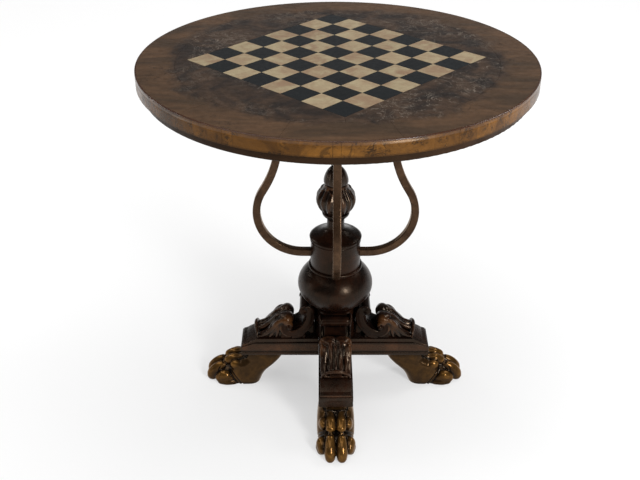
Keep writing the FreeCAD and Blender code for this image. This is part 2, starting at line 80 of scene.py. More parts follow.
def number(name, description, value, **more):
    return FloatProperty(name=name, description=description, default=value, **more)


def length(name, description, value):
    return number(name, description, value, min=0.0, unit="LENGTH", precision=4)


def share(name, description, value, high=1.0):
    return number(name, description, value, min=0.0, max=high, subtype="FACTOR")


def power(name, description, value):
    return number(name, description, value, min=0.0, subtype="POWER", unit="POWER")


def angle(name, description, degrees):
    return number(name, description, math.radians(degrees), subtype="ANGLE")


def whole(name, description, value, low):
    return IntProperty(name=name, description=description, default=value, min=low)


# Sizes and colours

class TopFinish(bpy.types.PropertyGroup):
    border: tint("Border", "Veneer ring round the field", tone(72, 56, 42))
    border_warm: tint("Border warm", "Warmer patches of the ring", tone(104, 77, 55))
    border_dark: tint("Border dark", "Darker streaks and cracks of the ring", tone(30, 22, 17))
    field: tint("Field", "Dark marbled field round the chessboard", tone(36, 30, 28))
    field_warm: tint("Field warm", "Brown clouds in the field", tone(84, 64, 49))
    vein: tint("Vein", "Pale squiggly veins in the field", tone(158, 146, 132))
    field_edge: length("Field edge", "Distance from the middle at which the marbling fades out", 0.318)
    field_edge_sway: length("Field edge sway", "How far that edge wanders", 0.05)
    light_square: tint("Light square", "Cream stone squares", tone(164, 149, 119))
    light_clouds: tint("Light clouds", "Pinkish clouds in the cream stone", tone(142, 116, 92))
    dark_square: tint("Dark square", "Blue-black stone squares", tone(20, 23, 25))
    rim: tint("Rim", "Amber veneer on the rim", tone(140, 93, 37))
    rim_dark: tint("Rim dark", "Brown patches of the rim", tone(58, 34, 15))
    # Crack colour, also laid as the painted shadow along the rim's foot.
    rim_crack_and_shadow: tint("Rim crack", "Dark cracks of the rim", tone(26, 15, 8))
    # Painted shade on the rim's rounded upper edge.
    rim_arris: tint("Rim arris", "Red-brown line along the rim's upper edge", tone(58, 30, 17))
    apron: tint("Apron", "Dark edge of the panel below the rim", tone(50, 32, 18))
    core: tint("Core", "Plain wood of the board under the veneers", tone(120, 92, 62))
    core_dark: tint("Core dark", "Grain of that board", tone(92, 68, 46))
    polish: tint("Polish", "Warm tint that the polish gives to what it mirrors", (1.0, 0.74, 0.5))
    tile: length("Tile", "Pitch of the chess squares", 0.762 * 0.066)
    board_turn: angle("Board turn", "Turn of the chessboard about the post", 46.57)


class BaseFinish(bpy.types.PropertyGroup):
    wood: tint("Wood", "Dark polished wood of the post", tone(20, 12, 9))
    wood_warm: tint("Wood glow", "Red-brown glow in the polish", tone(50, 27, 16))
    # Dark colour for stain and grain, also laid as painted shade in the hollows, creases and undersides of
    # the carving and the paws.
    dark_stain_and_shade: tint("Recess", "Stain left in the hollows", tone(6, 4, 3))
    rubbed: tint("Rubbed", "Bronze-brown on rubbed ridges", tone(88, 58, 38))
    # Partly rubbed wood, partly a painted sheen on the lobes.
    golden: tint("Golden lobes", "Amber-brown on the leaf's rounded lobes", tone(102, 63, 31))
    rail_rubbed: tint("Rail rubbed", "Red-brown on the rails' broad faces", tone(84, 53, 34))
    gilt: tint("Gilt", "Antique gold on the paws", tone(120, 84, 38))
    gilt_dark: tint("Gilt dark", "Brown under the worn gold", tone(62, 44, 25))
    iron: tint("Iron", "Bronzed iron of the brackets", tone(60, 41, 28))
    iron_worn: tint("Iron worn", "Rubbed corners of the brackets", tone(108, 82, 60))
    steel: tint("Steel", "Screws, nut, washer and rod", tone(150, 150, 152))
    dowel: tint("Dowel", "Plain hardwood of the dowels", tone(176, 140, 96))
    polish: tint("Polish", "Warm tint that the polish gives to what it mirrors", (1.0, 0.75, 0.54))


class CarvingSizes(bpy.types.PropertyGroup):
    grain: length("Grain", "Size of the grid that joins the carved forms", 0.0012)
    rib_radius: length("Rib", "Radius of a leaf rib", 0.0041)
    frond_radius: length("Frond", "Radius of a frond on the leaf's side", 0.0042)
    leaf_count: whole("Calyx leaves", "Leaves round the finial", 4, 2)
    flute_count: whole("Flutes", "Flutes on each calyx leaf", 4, 1)
    flute_depth: length("Flute depth", "Depth of the flutes on the finial", 0.0032)


class StudioSizes(bpy.types.PropertyGroup):
    camera_place: FloatVectorProperty(name="Camera", description="Where the camera stands", size=3,
                                      subtype="TRANSLATION", unit="LENGTH",
                                      default=(-0.033, -1.6754, 1.3498))
    camera_tilt: angle("Tilt", "Camera's turn about X from looking down", 59.45)
    lens: number("Lens", "Focal length on a 36 mm sensor, in millimetres", 51.51, min=1.0)
    floor: tint("Floor", "Pale floor", (0.45, 0.45, 0.45))
    # The lower paleness round the table is a painted shadow.
    floor_glow: share("Floor paleness", "White that the floor shows round the table", 0.5)
    floor_far: share("Far floor paleness", "White that the floor shows far from the table", 0.62)
    sky: share("Surroundings", "Brightness of the surroundings", 0.1, 2.0)
    backdrop: share("Backdrop paleness", "White that the surroundings show low down", 0.95)
    overhead: number("Overhead", "Strength of the even light from above", 2.0, min=0.0)
    left: power("Left", "Power of the left soft box", 3.5)
    front: power("Front", "Power of the front soft box", 60.0)
    back: power("Back", "Power of the box at the back left", 6.0)
    right: power("Right", "Power of the box over the right side", 16.0)
    low: power("Low", "Power of the low strip behind, which the top mirrors", 0.8)


# Shader building

def feed(tree, socket, value):
    """Gives a socket a value, a colour or another node's output."""
    if isinstance(value, bpy.types.NodeSocket):
        tree.links.new(value, socket)
    elif socket.type == "RGBA" and len(value) == 3:
        socket.default_value = (*value, 1.0)
    else:
        socket.default_value = value


def fill(tree, node, values):
    """Gives several inputs of a node their values."""
    for name, value in values.items():
        feed(tree, node.inputs[name], value)


def put(tree, kind, inputs=None, **settings):
    """Node with its settings and its inputs."""
    node = tree.nodes.new(kind)
    for name, value in settings.items():
        setattr(node, name, value)
    fill(tree, node, inputs or {})
    return node


def calc(tree, operation, *values):
    return put(tree, "ShaderNodeMath", dict(enumerate(values)), operation=operation).outputs[0]


def times(tree, first, *others):
    for other in others:
        first = calc(tree, "MULTIPLY", first, other)
    return first


def largest(tree, first, *others):
    for other in others:
        first = calc(tree, "MAXIMUM", first, other)
    return first


def vector_calc(tree, operation, first, second=None):
    """Vector, or length, worked out from a vector and a second one or a factor."""
    node = put(tree, "ShaderNodeVectorMath", {0: first}, operation=operation)
    if second is not None:
        feed(tree, node.inputs["Scale" if operation == "SCALE" else 1], second)
    return node.outputs["Value" if operation == "LENGTH" else "Vector"]


def mapped(tree, vector, scale=(1.0, 1.0, 1.0), turn=(0.0, 0.0, 0.0)):
    inputs = {"Vector": vector, "Scale": scale, "Rotation": turn}
    return put(tree, "ShaderNodeMapping", inputs).outputs["Vector"]


def parted(tree, vector):
    """X, Y and Z of a vector."""
    return put(tree, "ShaderNodeSeparateXYZ", {"Vector": vector}).outputs


def facing(tree):
    """How far a face looks up, from -1 to 1."""
    return parted(tree, tree.nodes.new("ShaderNodeTexCoord").outputs["Normal"])["Z"]


def stored(tree, name):
    """Value that a mesh stores at its vertices."""
    return put(tree, "ShaderNodeAttribute", attribute_name=name).outputs["Fac"]


def span(tree, value, low, high, to_low=0.0, to_high=1.0):
    """Value carried smoothly from one range to another and held inside it."""
    inputs = {"Value": value, "From Min": low, "From Max": high, "To Min": to_low, "To Max": to_high}
    return put(tree, "ShaderNodeMapRange", inputs, interpolation_type="SMOOTHSTEP").outputs["Result"]


def noise(tree, vector, scale, detail, rough=0.5, warp=0.0):
    inputs = {"Vector": vector, "Scale": scale, "Detail": detail, "Roughness": rough, "Distortion": warp}
    return put(tree, "ShaderNodeTexNoise", inputs).outputs["Fac"]


def layered(tree, base, *layers):
    """Colours laid over a base one after the other, each by a mask and a share."""
    for mask, part, over in layers:
        inputs = {0: times(tree, mask, part), 6: base, 7: over}
        base = put(tree, "ShaderNodeMix", inputs, data_type="RGBA").outputs[2]
    return base


def new_group(name, inputs, outputs):
    """Empty node group: its tree, what it is given and what it gives, all values but for the vector."""
    tree = bpy.data.node_groups.new(name, "ShaderNodeTree")
    for side, labels in (("INPUT", inputs), ("OUTPUT", outputs)):
        for label in labels:
            kind = "NodeSocketVector" if label == "Vector" else "NodeSocketFloat"
            tree.interface.new_socket(label, in_out=side, socket_type=kind)
    return tree, tree.nodes.new("NodeGroupInput").outputs, tree.nodes.new("NodeGroupOutput").inputs


def in_patches(tree, given, distance, spread, detail, soft):
    """Lines where a distance is small, kept only in patches."""
    line = span(tree, distance, 0.0, given["Width"], 1.0, 0.0)
    patch = noise(tree, given["Vector"], times(tree, given["Scale"], spread), detail)
    cover = span(tree, patch, given["Cover"], calc(tree, "ADD", given["Cover"], soft))
    return times(tree, line, cover)


def build_web(name):
    """Thin branching lines, as scratches, that come and go in patches."""
    tree, given, out = new_group(name, ("Vector", "Scale", "Width", "Warp", "Cover"), ("Mask",))
    inputs = {"Vector": given["Vector"], "Scale": given["Scale"], "Detail": 3.0}
    shift = put(tree, "ShaderNodeTexNoise", inputs)
    pushed = vector_calc(tree, "SCALE", shift.outputs["Color"], given["Warp"])
    moved = vector_calc(tree, "ADD", given["Vector"], pushed)
    cells = put(tree, "ShaderNodeTexVoronoi", {"Vector": moved, "Scale": given["Scale"]},
                feature="DISTANCE_TO_EDGE")
    distance = cells.outputs["Distance"]
    feed(tree, out["Mask"], in_patches(tree, given, distance, spread=0.35, detail=2.0, soft=0.1))
    return tree


def build_squiggles(name):
    """Thin squiggly lines in clusters: the level lines of a warped noise."""
    tree, given, out = new_group(name, ("Vector", "Scale", "Width", "Cover"), ("Mask",))
    waves = noise(tree, given["Vector"], given["Scale"], 3.0, rough=0.6, warp=2.2)
    level = calc(tree, "ABSOLUTE", calc(tree, "SUBTRACT", waves, 0.5))
    feed(tree, out["Mask"], in_patches(tree, given, level, spread=0.45, detail=3.0, soft=0.08))
    return tree


def build_clouds(name):
    """Two soft layers of clouds, one broad and one fine."""
    tree, given, out = new_group(name, ("Vector", "Scale", "Fine Scale"), ("Broad", "Fine"))
    broad = noise(tree, given["Vector"], given["Scale"], 4.0, rough=0.6, warp=0.8)
    fine = noise(tree, given["Vector"], given["Fine Scale"], 5.0, rough=0.65)
    feed(tree, out["Broad"], span(tree, broad, 0.35, 0.65))
    feed(tree, out["Fine"], span(tree, fine, 0.3, 0.7))
    return tree


def build_wood(name):
    """Fine grain that runs along the vector's Z, with broader bands."""
    tree, given, out = new_group(name, ("Vector", "Scale"), ("Grain", "Band"))
    long_way = vector_calc(tree, "MULTIPLY", given["Vector"], (1.0, 1.0, 0.12))
    grain = noise(tree, long_way, given["Scale"], 6.0, rough=0.7)
    band = noise(tree, long_way, times(tree, given["Scale"], 0.12), 3.0, warp=1.5)
    feed(tree, out["Grain"], span(tree, grain, 0.35, 0.65))
    feed(tree, out["Band"], span(tree, band, 0.38, 0.62))
    return tree


def build_wear_and_shade(name):
    """Where a carved surface is rubbed bright, and where its hollows are darkened as stain and as painted
    shade, from its relief.
    """
    tree, given, out = new_group(name, ("Relief", "Vector", "Rub", "Stain"), ("Rubbed", "Recess"))
    spots = noise(tree, given["Vector"], 45.0, 4.0, rough=0.6)
    uneven = calc(tree, "ADD", given["Relief"], calc(tree, "MULTIPLY_ADD", spots, 0.5, 0.5))
    start = calc(tree, "SUBTRACT", 1.1, given["Rub"])
    feed(tree, out["Rubbed"], span(tree, uneven, start, calc(tree, "ADD", start, 0.55)))
    # Recess: hollows darkened, partly stain and partly painted shade.
    feed(tree, out["Recess"], span(tree, given["Relief"], 0.0, given["Stain"]))
    return tree


GROUPS = {"web": build_web, "squiggles": build_squiggles, "clouds": build_clouds, "wood": build_wood,
          "wear_and_shade": build_wear_and_shade}


def label(name):
    return name.replace("_", " ").title()


def group(tree, name, **inputs):
    """Shared node group placed in a tree, built at its first use; its outputs by name."""
    built = bpy.data.node_groups.get(name) or GROUPS[name](name)
    return put(tree, "ShaderNodeGroup", {label(key): inputs[key] for key in inputs}, node_tree=built).outputs


def clouds(tree, vector, scale, fine_scale):
    """Broad clouds and fine ones."""
    made = group(tree, "clouds", vector=vector, scale=scale, fine_scale=fine_scale)
    return made["Broad"], made["Fine"]


def squiggles(tree, vector, scale, width, cover):
    return group(tree, "squiggles", vector=vector, scale=scale, width=width, cover=cover)["Mask"]


def start_material(name):
    """New material: its tree and the object coordinates."""
    material = bpy.data.materials.new(name)
    material.use_nodes = True
    tree = material.node_tree
    return material, tree, tree.nodes.new("ShaderNodeTexCoord").outputs["Object"]


def satin(tree, marks, low, high):
    """Roughness between two values, uneven in the way the marks are."""
    return span(tree, marks, 0.0, 1.0, low, high)


def dress(material, base, rough, height, bump, depth, level, mirror=(1.0, 1.0, 1.0), **more):
    """Finished material; level and mirror are the strength and the tint of its polish."""
    tree = material.node_tree
    relief = put(tree, "ShaderNodeBump", {"Strength": bump, "Distance": depth, "Height": height})
    values = {"Base Color": base, "Roughness": rough, "Normal": relief.outputs["Normal"],
              "Specular IOR Level": level, "Specular Tint": mirror}
    values.update({label(name): value for name, value in more.items()})
    fill(tree, tree.nodes["Principled BSDF"], values)
    return material


# Materials of the top

def veneer_material(name, look):
    """Streaky brown veneer whose dark marbled middle fades out along a wandering edge."""
    material, tree, place = start_material(name)
    streaks = mapped(tree, place, scale=(0.45, 1.6, 1.0))
    broad_streaks, fine_streaks = clouds(tree, streaks, 9.0, 42.0)
    broad, fine = clouds(tree, place, 15.0, 85.0)
    cracks = squiggles(tree, place, 15.0, 0.011, 0.51)
    border = layered(
        tree, look.border,
        (broad_streaks, 0.75, look.border_warm),
        (fine_streaks, 0.4, look.border_dark),
        (fine, 0.22, look.border_dark),
        (cracks, 0.85, look.border_dark))
    marble = layered(
        tree, look.field,
        (broad, 0.7, look.field_warm),
        (fine, 0.45, shaded(look.field, 0.4)),
        (squiggles(tree, place, 19.0, 0.016, 0.5), 0.42, look.vein),
        (squiggles(tree, place, 40.0, 0.024, 0.51), 0.22, look.vein))
    reach = vector_calc(tree, "LENGTH", vector_calc(tree, "MULTIPLY", place, (1.0, 1.0, 0.0)))
    sway = calc(tree, "SUBTRACT", noise(tree, place, 11.0, 5.0, rough=0.65, warp=0.6), 0.5)
    wandering = calc(tree, "ADD", reach, times(tree, sway, look.field_edge_sway * 2))
    fade = 12 * MM
    outside = span(tree, wandering, look.field_edge - fade, look.field_edge + fade)
    base = layered(tree, marble, (outside, 1.0, border))
    return dress(material, base, satin(tree, fine, 0.3, 0.4), cracks,
                 bump=0.1, depth=0.0003, level=0.25, mirror=look.polish)


def tile_number(tree, place, look):
    """Random value and whole-number place that are the same all over one chess square."""
    turned = mapped(tree, place, turn=(0.0, 0.0, -look.board_turn))
    cell = vector_calc(tree, "FLOOR", vector_calc(tree, "SCALE", turned, 1 / look.tile))
    flat = vector_calc(tree, "MULTIPLY", cell, (1.0, 1.0, 0.0))
    random = put(tree, "ShaderNodeTexWhiteNoise", {"Vector": flat}, noise_dimensions="3D")
    return span(tree, random.outputs["Value"], 0.0, 1.0), flat


def light_tile_material(look):
    """Cream stone, clouded and speckled, each square a little different."""
    material, tree, place = start_material("cream_stone")
    number, cell = tile_number(tree, place, look)
    moved = vector_calc(tree, "ADD", place, vector_calc(tree, "SCALE", cell, 3.7))
    broad, fine = clouds(tree, moved, 26.0, 120.0)
    base = layered(
        tree, look.light_square,
        (broad, 1.0, look.light_clouds),
        (number, 0.35, shaded(look.light_square, 1.25)),
        (fine, 0.22, shaded(look.light_clouds, 0.5)))
    return dress(material, base, satin(tree, fine, 0.28, 0.38), fine,
                 bump=0.04, depth=0.0002, level=0.2)


def dark_tile_material(look):
    """Blue-black stone with faint smoky clouds."""
    material, tree, place = start_material("black_stone")
    broad, fine = clouds(tree, place, 30.0, 110.0)
    base = layered(
        tree, look.dark_square,
        (broad, 0.3, shaded(look.dark_square, 1.7)),
        (tile_number(tree, place, look)[0], 0.4, shaded(look.dark_square, 0.6)))
    return dress(material, base, satin(tree, fine, 0.28, 0.38), fine,
                 bump=0.04, depth=0.0002, level=0.2)


def rim_material(look):
    """Amber veneer in patches, with upright joints, dark cracks, a painted shadow along its foot, and an
    eased upper edge with a red-brown line of painted shade.
    """
    material, tree, place = start_material("rim_veneer")
    parts = parted(tree, place)
    height, top, foot = parts["Z"], RIM_HIGH.z, RIM_LOW.z
    along = times(tree, calc(tree, "ARCTAN2", parts["Y"], parts["X"]), RIM_HIGH.x)
    wrapped = put(tree, "ShaderNodeCombineXYZ", {"X": along, "Y": height}).outputs["Vector"]
    pieces = put(
        tree, "ShaderNodeTexBrick",
        {"Vector": wrapped, "Color1": (0.0, 0.0, 0.0), "Color2": (1.0, 1.0, 1.0), "Mortar": (0.5, 0.5, 0.5),
         "Scale": 1.0, "Mortar Size": 0.0007, "Mortar Smooth": 0.4, "Bias": 0.0, "Brick Width": 0.083,
         "Row Height": 0.0365}, offset=0.37, squash=0.6, squash_frequency=3).outputs
    broad, fine = clouds(tree, place, 13.0, 70.0)
    cracks = squiggles(tree, place, 22.0, 0.024, 0.5)
    blots = span(tree, noise(tree, place, 31.0, 5.0, rough=0.7, warp=1.4), 0.54, 0.66)
    # Red-brown line of painted shade along the eased upper edge.
    arris = span(tree, height, top - 2.8 * MM, top - 1.6 * MM)
    # Painted shadow along the rim's foot.
    shadow = span(tree, height, foot + 4.5 * MM, foot + 0.5 * MM)
    base = layered(
        tree, look.rim,
        (pieces["Color"], 0.5, look.rim_dark),
        (broad, 0.7, look.rim_dark),
        (blots, 0.6, look.rim_crack_and_shadow),
        (fine, 0.25, look.rim_crack_and_shadow),
        (pieces["Fac"], 0.4, look.rim_crack_and_shadow),
        (cracks, 0.9, look.rim_crack_and_shadow),
        (squiggles(tree, place, 70.0, 0.06, 0.55), 0.9, look.rim_crack_and_shadow),
        (arris, 0.85, look.rim_arris),
        (shadow, 0.5, look.rim_crack_and_shadow))
    rise = largest(tree, calc(tree, "SUBTRACT", height, top - 10.5 * MM), 0.0)
    profile = calc(tree, "ADD", times(tree, rise, rise, -38.0), times(tree, cracks, 0.00008))
    lacquer = span(tree, height, top - 8.5 * MM, top - 5.5 * MM, 0.0, 0.6)
    return dress(material, base, satin(tree, fine, 0.2, 0.32), profile,
                 bump=1.0, depth=1.0, level=0.24, mirror=look.polish,
                 coat_weight=lacquer, coat_roughness=0.2)


def panel_material(name, base_colour, dark, scale, turn=0.0):
    """Plain stained wood with upright grain, or grain turned about Y."""
    material, tree, place = start_material(name)
    wood = group(tree, "wood", vector=mapped(tree, place, turn=(0.0, turn, 0.0)), scale=scale)
    grain = wood["Grain"]
    base = layered(tree, base_colour, (grain, 0.6, dark), (wood["Band"], 0.4, shaded(base_colour, 1.4)))
    return dress(material, base, satin(tree, grain, 0.32, 0.5), grain,
                 bump=0.15, depth=0.0003, level=0.15, mirror=(1.0, 0.8, 0.6))


# Materials of the base

def polished_material(look):
    """Near-black polished wood with a red-brown glow and an upright grain."""
    material, tree, place = start_material("polished_dark_wood")
    grain = group(tree, "wood", vector=place, scale=260.0)["Grain"]
    broad, fine = clouds(tree, place, 17.0, 90.0)
    base = layered(
        tree, look.wood,
        (broad, 0.9, look.wood_warm),
        (grain, 0.45, look.dark_stain_and_shade),
        (fine, 0.35, look.dark_stain_and_shade))
    return dress(material, base, satin(tree, fine, 0.24, 0.36), grain,
                 bump=0.04, depth=0.0002, level=0.2, mirror=look.polish)


def carved_material(name, look, rub, level):
    """Polished carving, black in its hollows from stain and painted shade, rubbed bronze on its ridges, and
    amber on the leaf's lobes, partly a painted sheen.
    """
    material, tree, place = start_material(name)
    relief = stored(tree, "relief")
    wear_and_shade = group(tree, "wear_and_shade", relief=relief, vector=place, rub=rub, stain=-0.85)
    broad, fine = clouds(tree, place, 22.0, 130.0)
    base = layered(
        tree, look.wood,
        (broad, 0.6, look.wood_warm),
        (wear_and_shade["Rubbed"], span(tree, broad, 0.2, 0.9, 0.25, 0.95), look.rubbed),
        # Amber on the leaf's lobes: partly rubbed wood, partly a painted sheen.
        (stored(tree, "golden"), span(tree, relief, -0.5, 0.9, 0.05, 0.55), look.golden),
        (fine, 0.35, look.dark_stain_and_shade),
        # Hollows darkened: stain and painted shade.
        (wear_and_shade["Recess"], 1.0, look.dark_stain_and_shade))
    return dress(material, base, satin(tree, fine, 0.16, 0.28), fine,
                 bump=0.04, depth=0.0002, level=level, mirror=look.polish)


def gilt_material(look):
    """Antique gold on the paws, thin over brown, darkened in the hollows by stain and painted shade, with
    painted shade underneath, near the floor, under the rail and in creases.
    """
    material, tree, place = start_material("gilded_paw_wood")
    wear_and_shade = group(tree, "wear_and_shade", relief=stored(tree, "relief"), vector=place, rub=0.22, stain=-0.35)
    broad, fine = clouds(tree, place, 20.0, 110.0)
    height, top = parted(tree, place)["Z"], PAW_HIGH.z
    # Painted shade: darker on faces that look down, near the floor, just under the rail and in fine creases.
    painted_shade = largest(tree, span(tree, facing(tree), 0.1, -0.5, 0.0, 0.8),
                      span(tree, height, 13 * MM, 2 * MM, 0.0, 0.7),
                      span(tree, height, top - 11 * MM, top - 1 * MM, 0.0, 0.45),
                      span(tree, stored(tree, "crease"), -0.08, -0.7, 0.0, 0.95))
    base = layered(
        tree, look.gilt_dark,
        (broad, 0.3, look.gilt),
        (wear_and_shade["Rubbed"], 1.0, look.gilt),
        (fine, 0.3, look.gilt_dark),
        (painted_shade, 1.0, look.dark_stain_and_shade),
        (fine, 0.3, look.dark_stain_and_shade),
        # Hollows darkened: stain and painted shade.
        (wear_and_shade["Recess"], 1.0, look.dark_stain_and_shade))
    return dress(material, base, satin(tree, fine, 0.11, 0.22), fine,
                 bump=0.05, depth=0.0002, level=0.22, mirror=look.polish,
                 metallic=span(tree, wear_and_shade["Recess"], 0.0, 0.6, 0.5, 0.0))


def rail_material(look):
    """Stained rails, rubbed to red-brown on their broad side faces."""
    material, tree, place = start_material("rail_wood")
    broad, fine = clouds(tree, place, 16.0, 120.0)
    parts = parted(tree, place)
    height, foot, nose = parts["Z"], RAIL_LOW.z, RAIL_HIGH.x
    out = largest(tree, calc(tree, "ABSOLUTE", parts["X"]), calc(tree, "ABSOLUTE", parts["Y"]))
    side = times(tree, span(tree, out, nose - 1.5 * MM, nose - 3 * MM),
                 span(tree, calc(tree, "ABSOLUTE", facing(tree)), 0.5, 0.2))
    face = times(tree, span(tree, height, foot + 11.5 * MM, foot + 18 * MM),
                 span(tree, height, foot + 33.5 * MM, foot + 27 * MM), side)
    groove = times(tree, span(tree, height, foot + 7.5 * MM, foot + 9 * MM),
                   span(tree, height, foot + 12.5 * MM, foot + 11.5 * MM), side)
    base = layered(
        tree, look.wood,
        (broad, 0.6, look.wood_warm),
        (face, span(tree, broad, 0.0, 1.0, 0.35, 0.9), look.rail_rubbed),
        (fine, 0.4, look.dark_stain_and_shade),
        (groove, 1.0, look.dark_stain_and_shade))
    return dress(material, base, satin(tree, fine, 0.22, 0.34), fine,
                 bump=0.06, depth=0.0002, level=0.34, mirror=look.polish)


def iron_material(look):
    """Bronzed iron: brown satin paint, uneven and rubbed in places."""
    material, tree, place = start_material("bronzed_iron")
    broad, fine = clouds(tree, place, 20.0, 180.0)
    scratches = group(tree, "web", vector=place, scale=60.0, width=0.06, warp=0.02, cover=0.55)["Mask"]
    base = layered(
        tree, look.iron,
        (broad, 0.4, look.iron_worn),
        (fine, 0.45, look.dark_stain_and_shade),
        (scratches, 0.3, look.iron_worn))
    return dress(material, base, satin(tree, fine, 0.22, 0.34), fine,
                 bump=0.12, depth=0.0003, level=0.35, mirror=look.polish,
                 metallic=0.5)


def steel_material(look):
    """Plain drawn steel with fine turning marks."""
    material, tree, place = start_material("drawn_steel")
    marks = noise(tree, mapped(tree, place, scale=(1.0, 1.0, 14.0)), 220.0, 3.0, rough=0.55)
    base = layered(tree, look.steel, (span(tree, marks, 0.3, 0.7), 1.0, shaded(look.steel, 0.7)))
    rough = span(tree, marks, 0.3, 0.7, 0.28, 0.45)
    return dress(material, base, rough, marks,
                 bump=0.05, depth=0.0001, level=0.5, metallic=1.0)


# Mesh helpers: paths and sizes of the carving are in millimetres in the leg's own plane

def curve_through(points, radii=None, per_span=5):
    """Points and radii of a smooth path through the given ones."""
    path, sizes = [], []
    count = len(points)
    radii = radii or [1] * count
    for i in range(count - 1):
        a, b, c, d = [Vector(points[max(0, min(count - 1, i + k))]) for k in (-1, 0, 1, 2)]
        for step in range(per_span):
            t = step / per_span
            path.append(0.5 * (2 * b + (c - a) * t + (2 * a - 5 * b + 4 * c - d) * t * t
                               + (3 * b - a - 3 * c + d) * t ** 3))
            sizes.append(radii[i] + (radii[i + 1] - radii[i]) * t)
    return path + [Vector(points[-1])], sizes + [radii[-1]]


def tangent_at(path, i):
    return (path[min(i + 1, len(path) - 1)] - path[max(i - 1, 0)]).normalized()


def ring(bm, centre, across, upward, segments=14):
    """Circle of vertices round a centre, pulled to two half axes; gives its edges."""
    matrix = Matrix((across, upward, across.cross(upward).normalized())).transposed().to_4x4()
    matrix.translation = centre
    made = bmesh.ops.create_circle(bm, cap_ends=False, segments=segments, radius=1.0, matrix=matrix)
    return list({e for v in made["verts"] for e in v.link_edges})


def bridged(bm, rings):
    """Rings joined one after the other, with both ends closed."""
    for first, second in zip(rings, rings[1:]):
        bmesh.ops.bridge_loops(bm, edges=first + second)
    for end in (rings[0], rings[-1]):
        bmesh.ops.edgeloop_fill(bm, edges=end)


def strand(bm, points, radii, flat=1.0, per_span=5, segments=14):
    """Round-ended strand along a path; flat widens it across the path's plane."""
    path, sizes = curve_through(points, radii, per_span)
    tangents = [tangent_at(path, i) for i in range(len(path))]
    ends = (0.35, 0.7, 0.92)
    stations = list(zip(path, tangents, sizes))
    for s in reversed(ends):
        cap = math.sqrt(1 - s * s)
        stations.insert(0, (path[0] - tangents[0] * sizes[0] * cap, tangents[0], sizes[0] * s))
        stations.append((path[-1] + tangents[-1] * sizes[-1] * cap, tangents[-1], sizes[-1] * s))
    side = Vector((0, 1, 0)) if abs(tangents[0].y) < 0.8 else Vector((0, 0, 1))
    rings = []
    for place, tangent, radius in stations:
        side = (side - tangent * side.dot(tangent)).normalized()
        across, upward = side * radius * flat * MM, tangent.cross(side) * radius * MM
        rings.append(ring(bm, place * MM, across, upward, segments))
    bridged(bm, rings)


def both_sides(bm, points, radii, flat=1.0, per_span=5):
    """The same strand on both sides of the leg's plane."""
    for side in (-1, 1):
        strand(bm, [(x, y * side, z) for x, y, z in points], radii, flat, per_span)


def at_side(y, outline):
    """Points of a side outline, all as far from the leg's plane."""
    return [(x, y, z) for x, z in outline]


def blob(bm, centre, halves, turn=0.0):
    """Egg-shaped lump; turn tips it in the leg's plane."""
    matrix = (Matrix.Translation(Vector(centre) * MM) @ Matrix.Rotation(math.radians(-turn), 4, "Y")
              @ Matrix.Diagonal((*[h * MM for h in halves], 1.0)))
    bmesh.ops.create_uvsphere(bm, u_segments=24, v_segments=16, radius=1.0, matrix=matrix)


def slab(bm, outline, half):
    """Side outline of the leg's plane pushed out to both sides; gives the slab's vertices."""
    verts = [bm.verts.new(Vector(point) * MM) for point in at_side(-half, outline)]
    pushed = bmesh.ops.extrude_face_region(bm, geom=[bm.faces.new(verts)])
    moved = [g for g in pushed["geom"] if isinstance(g, bmesh.types.BMVert)]
    bmesh.ops.translate(bm, verts=moved, vec=(0, half * 2 * MM, 0))
    bmesh.ops.recalc_face_normals(bm, faces=list({f for v in verts + moved for f in v.link_faces}))
    return verts + moved


def shaped(build, *values):
    """New mesh in progress, with the forms that a function adds to it."""
    bm = bmesh.new()
    build(bm, *values)
    return bm


def joined(bm, voxel, smooth_steps, name):
    """Overlapping forms melted into one skin, then eased."""
    bmesh.ops.recalc_face_normals(bm, faces=bm.faces)
    rough = bpy.data.meshes.new(name)
    bm.to_mesh(rough)
    bm.free()
    holder = bpy.data.objects.new(name, rough)
    bpy.context.scene.collection.objects.link(holder)
    melt = holder.modifiers.new("melt", "REMESH")
    melt.mode = "VOXEL"
    melt.voxel_size = voxel
    graph = bpy.context.evaluated_depsgraph_get()
    skin = bpy.data.meshes.new_from_object(holder.evaluated_get(graph))
    bpy.data.objects.remove(holder)
    bpy.data.meshes.remove(rough)
    bm = bmesh.new()
    bm.from_mesh(skin)
    bpy.data.meshes.remove(skin)
    for _ in range(smooth_steps):
        bmesh.ops.smooth_vert(bm, verts=bm.verts, factor=0.5, use_axis_x=True, use_axis_y=True,
                              use_axis_z=True)
    return bm


def scribe(bm, points, width, depth, mirrored=True, strict=1.0):
    """Presses a groove into the skin along a path; a low strict lets the skin lie off the path in Y."""
    squeeze = Vector((1.0, strict, 1.0))
    path, _ = curve_through([Vector(p) * squeeze * MM for p in points], per_span=12)
    if mirrored:
        path += [Vector((p.x, -p.y, p.z)) for p in path]
    tree = KDTree(len(path))
    for index, place in enumerate(path):
        tree.insert(place, index)
    tree.balance()
    bm.normal_update()
    shifts = []
    for vert in bm.verts:
        away = tree.find(vert.co * squeeze)[2] / (width * MM)
        if away < 1:
            shifts.append((vert, vert.normal * (depth * MM * (1 - away * away) ** 2)))
    for vert, shift in shifts:
        vert.co -= shift


def cut_level(bm, level, upward):
    """Everything above or below a level taken off, and the cut closed."""
    normal = (0, 0, 1 if upward else -1)
    geom = bm.verts[:] + bm.edges[:] + bm.faces[:]
    bmesh.ops.bisect_plane(bm, geom=geom, plane_co=(0, 0, level), plane_no=normal, clear_outer=True)
    bmesh.ops.holes_fill(bm, edges=[e for e in bm.edges if e.is_boundary], sides=0)


def add_value(mesh, name, values):
    """Stores a value for each vertex."""
    mesh.attributes.new(name, "FLOAT", "POINT").data.foreach_set("value", np.asarray(values, np.float32))


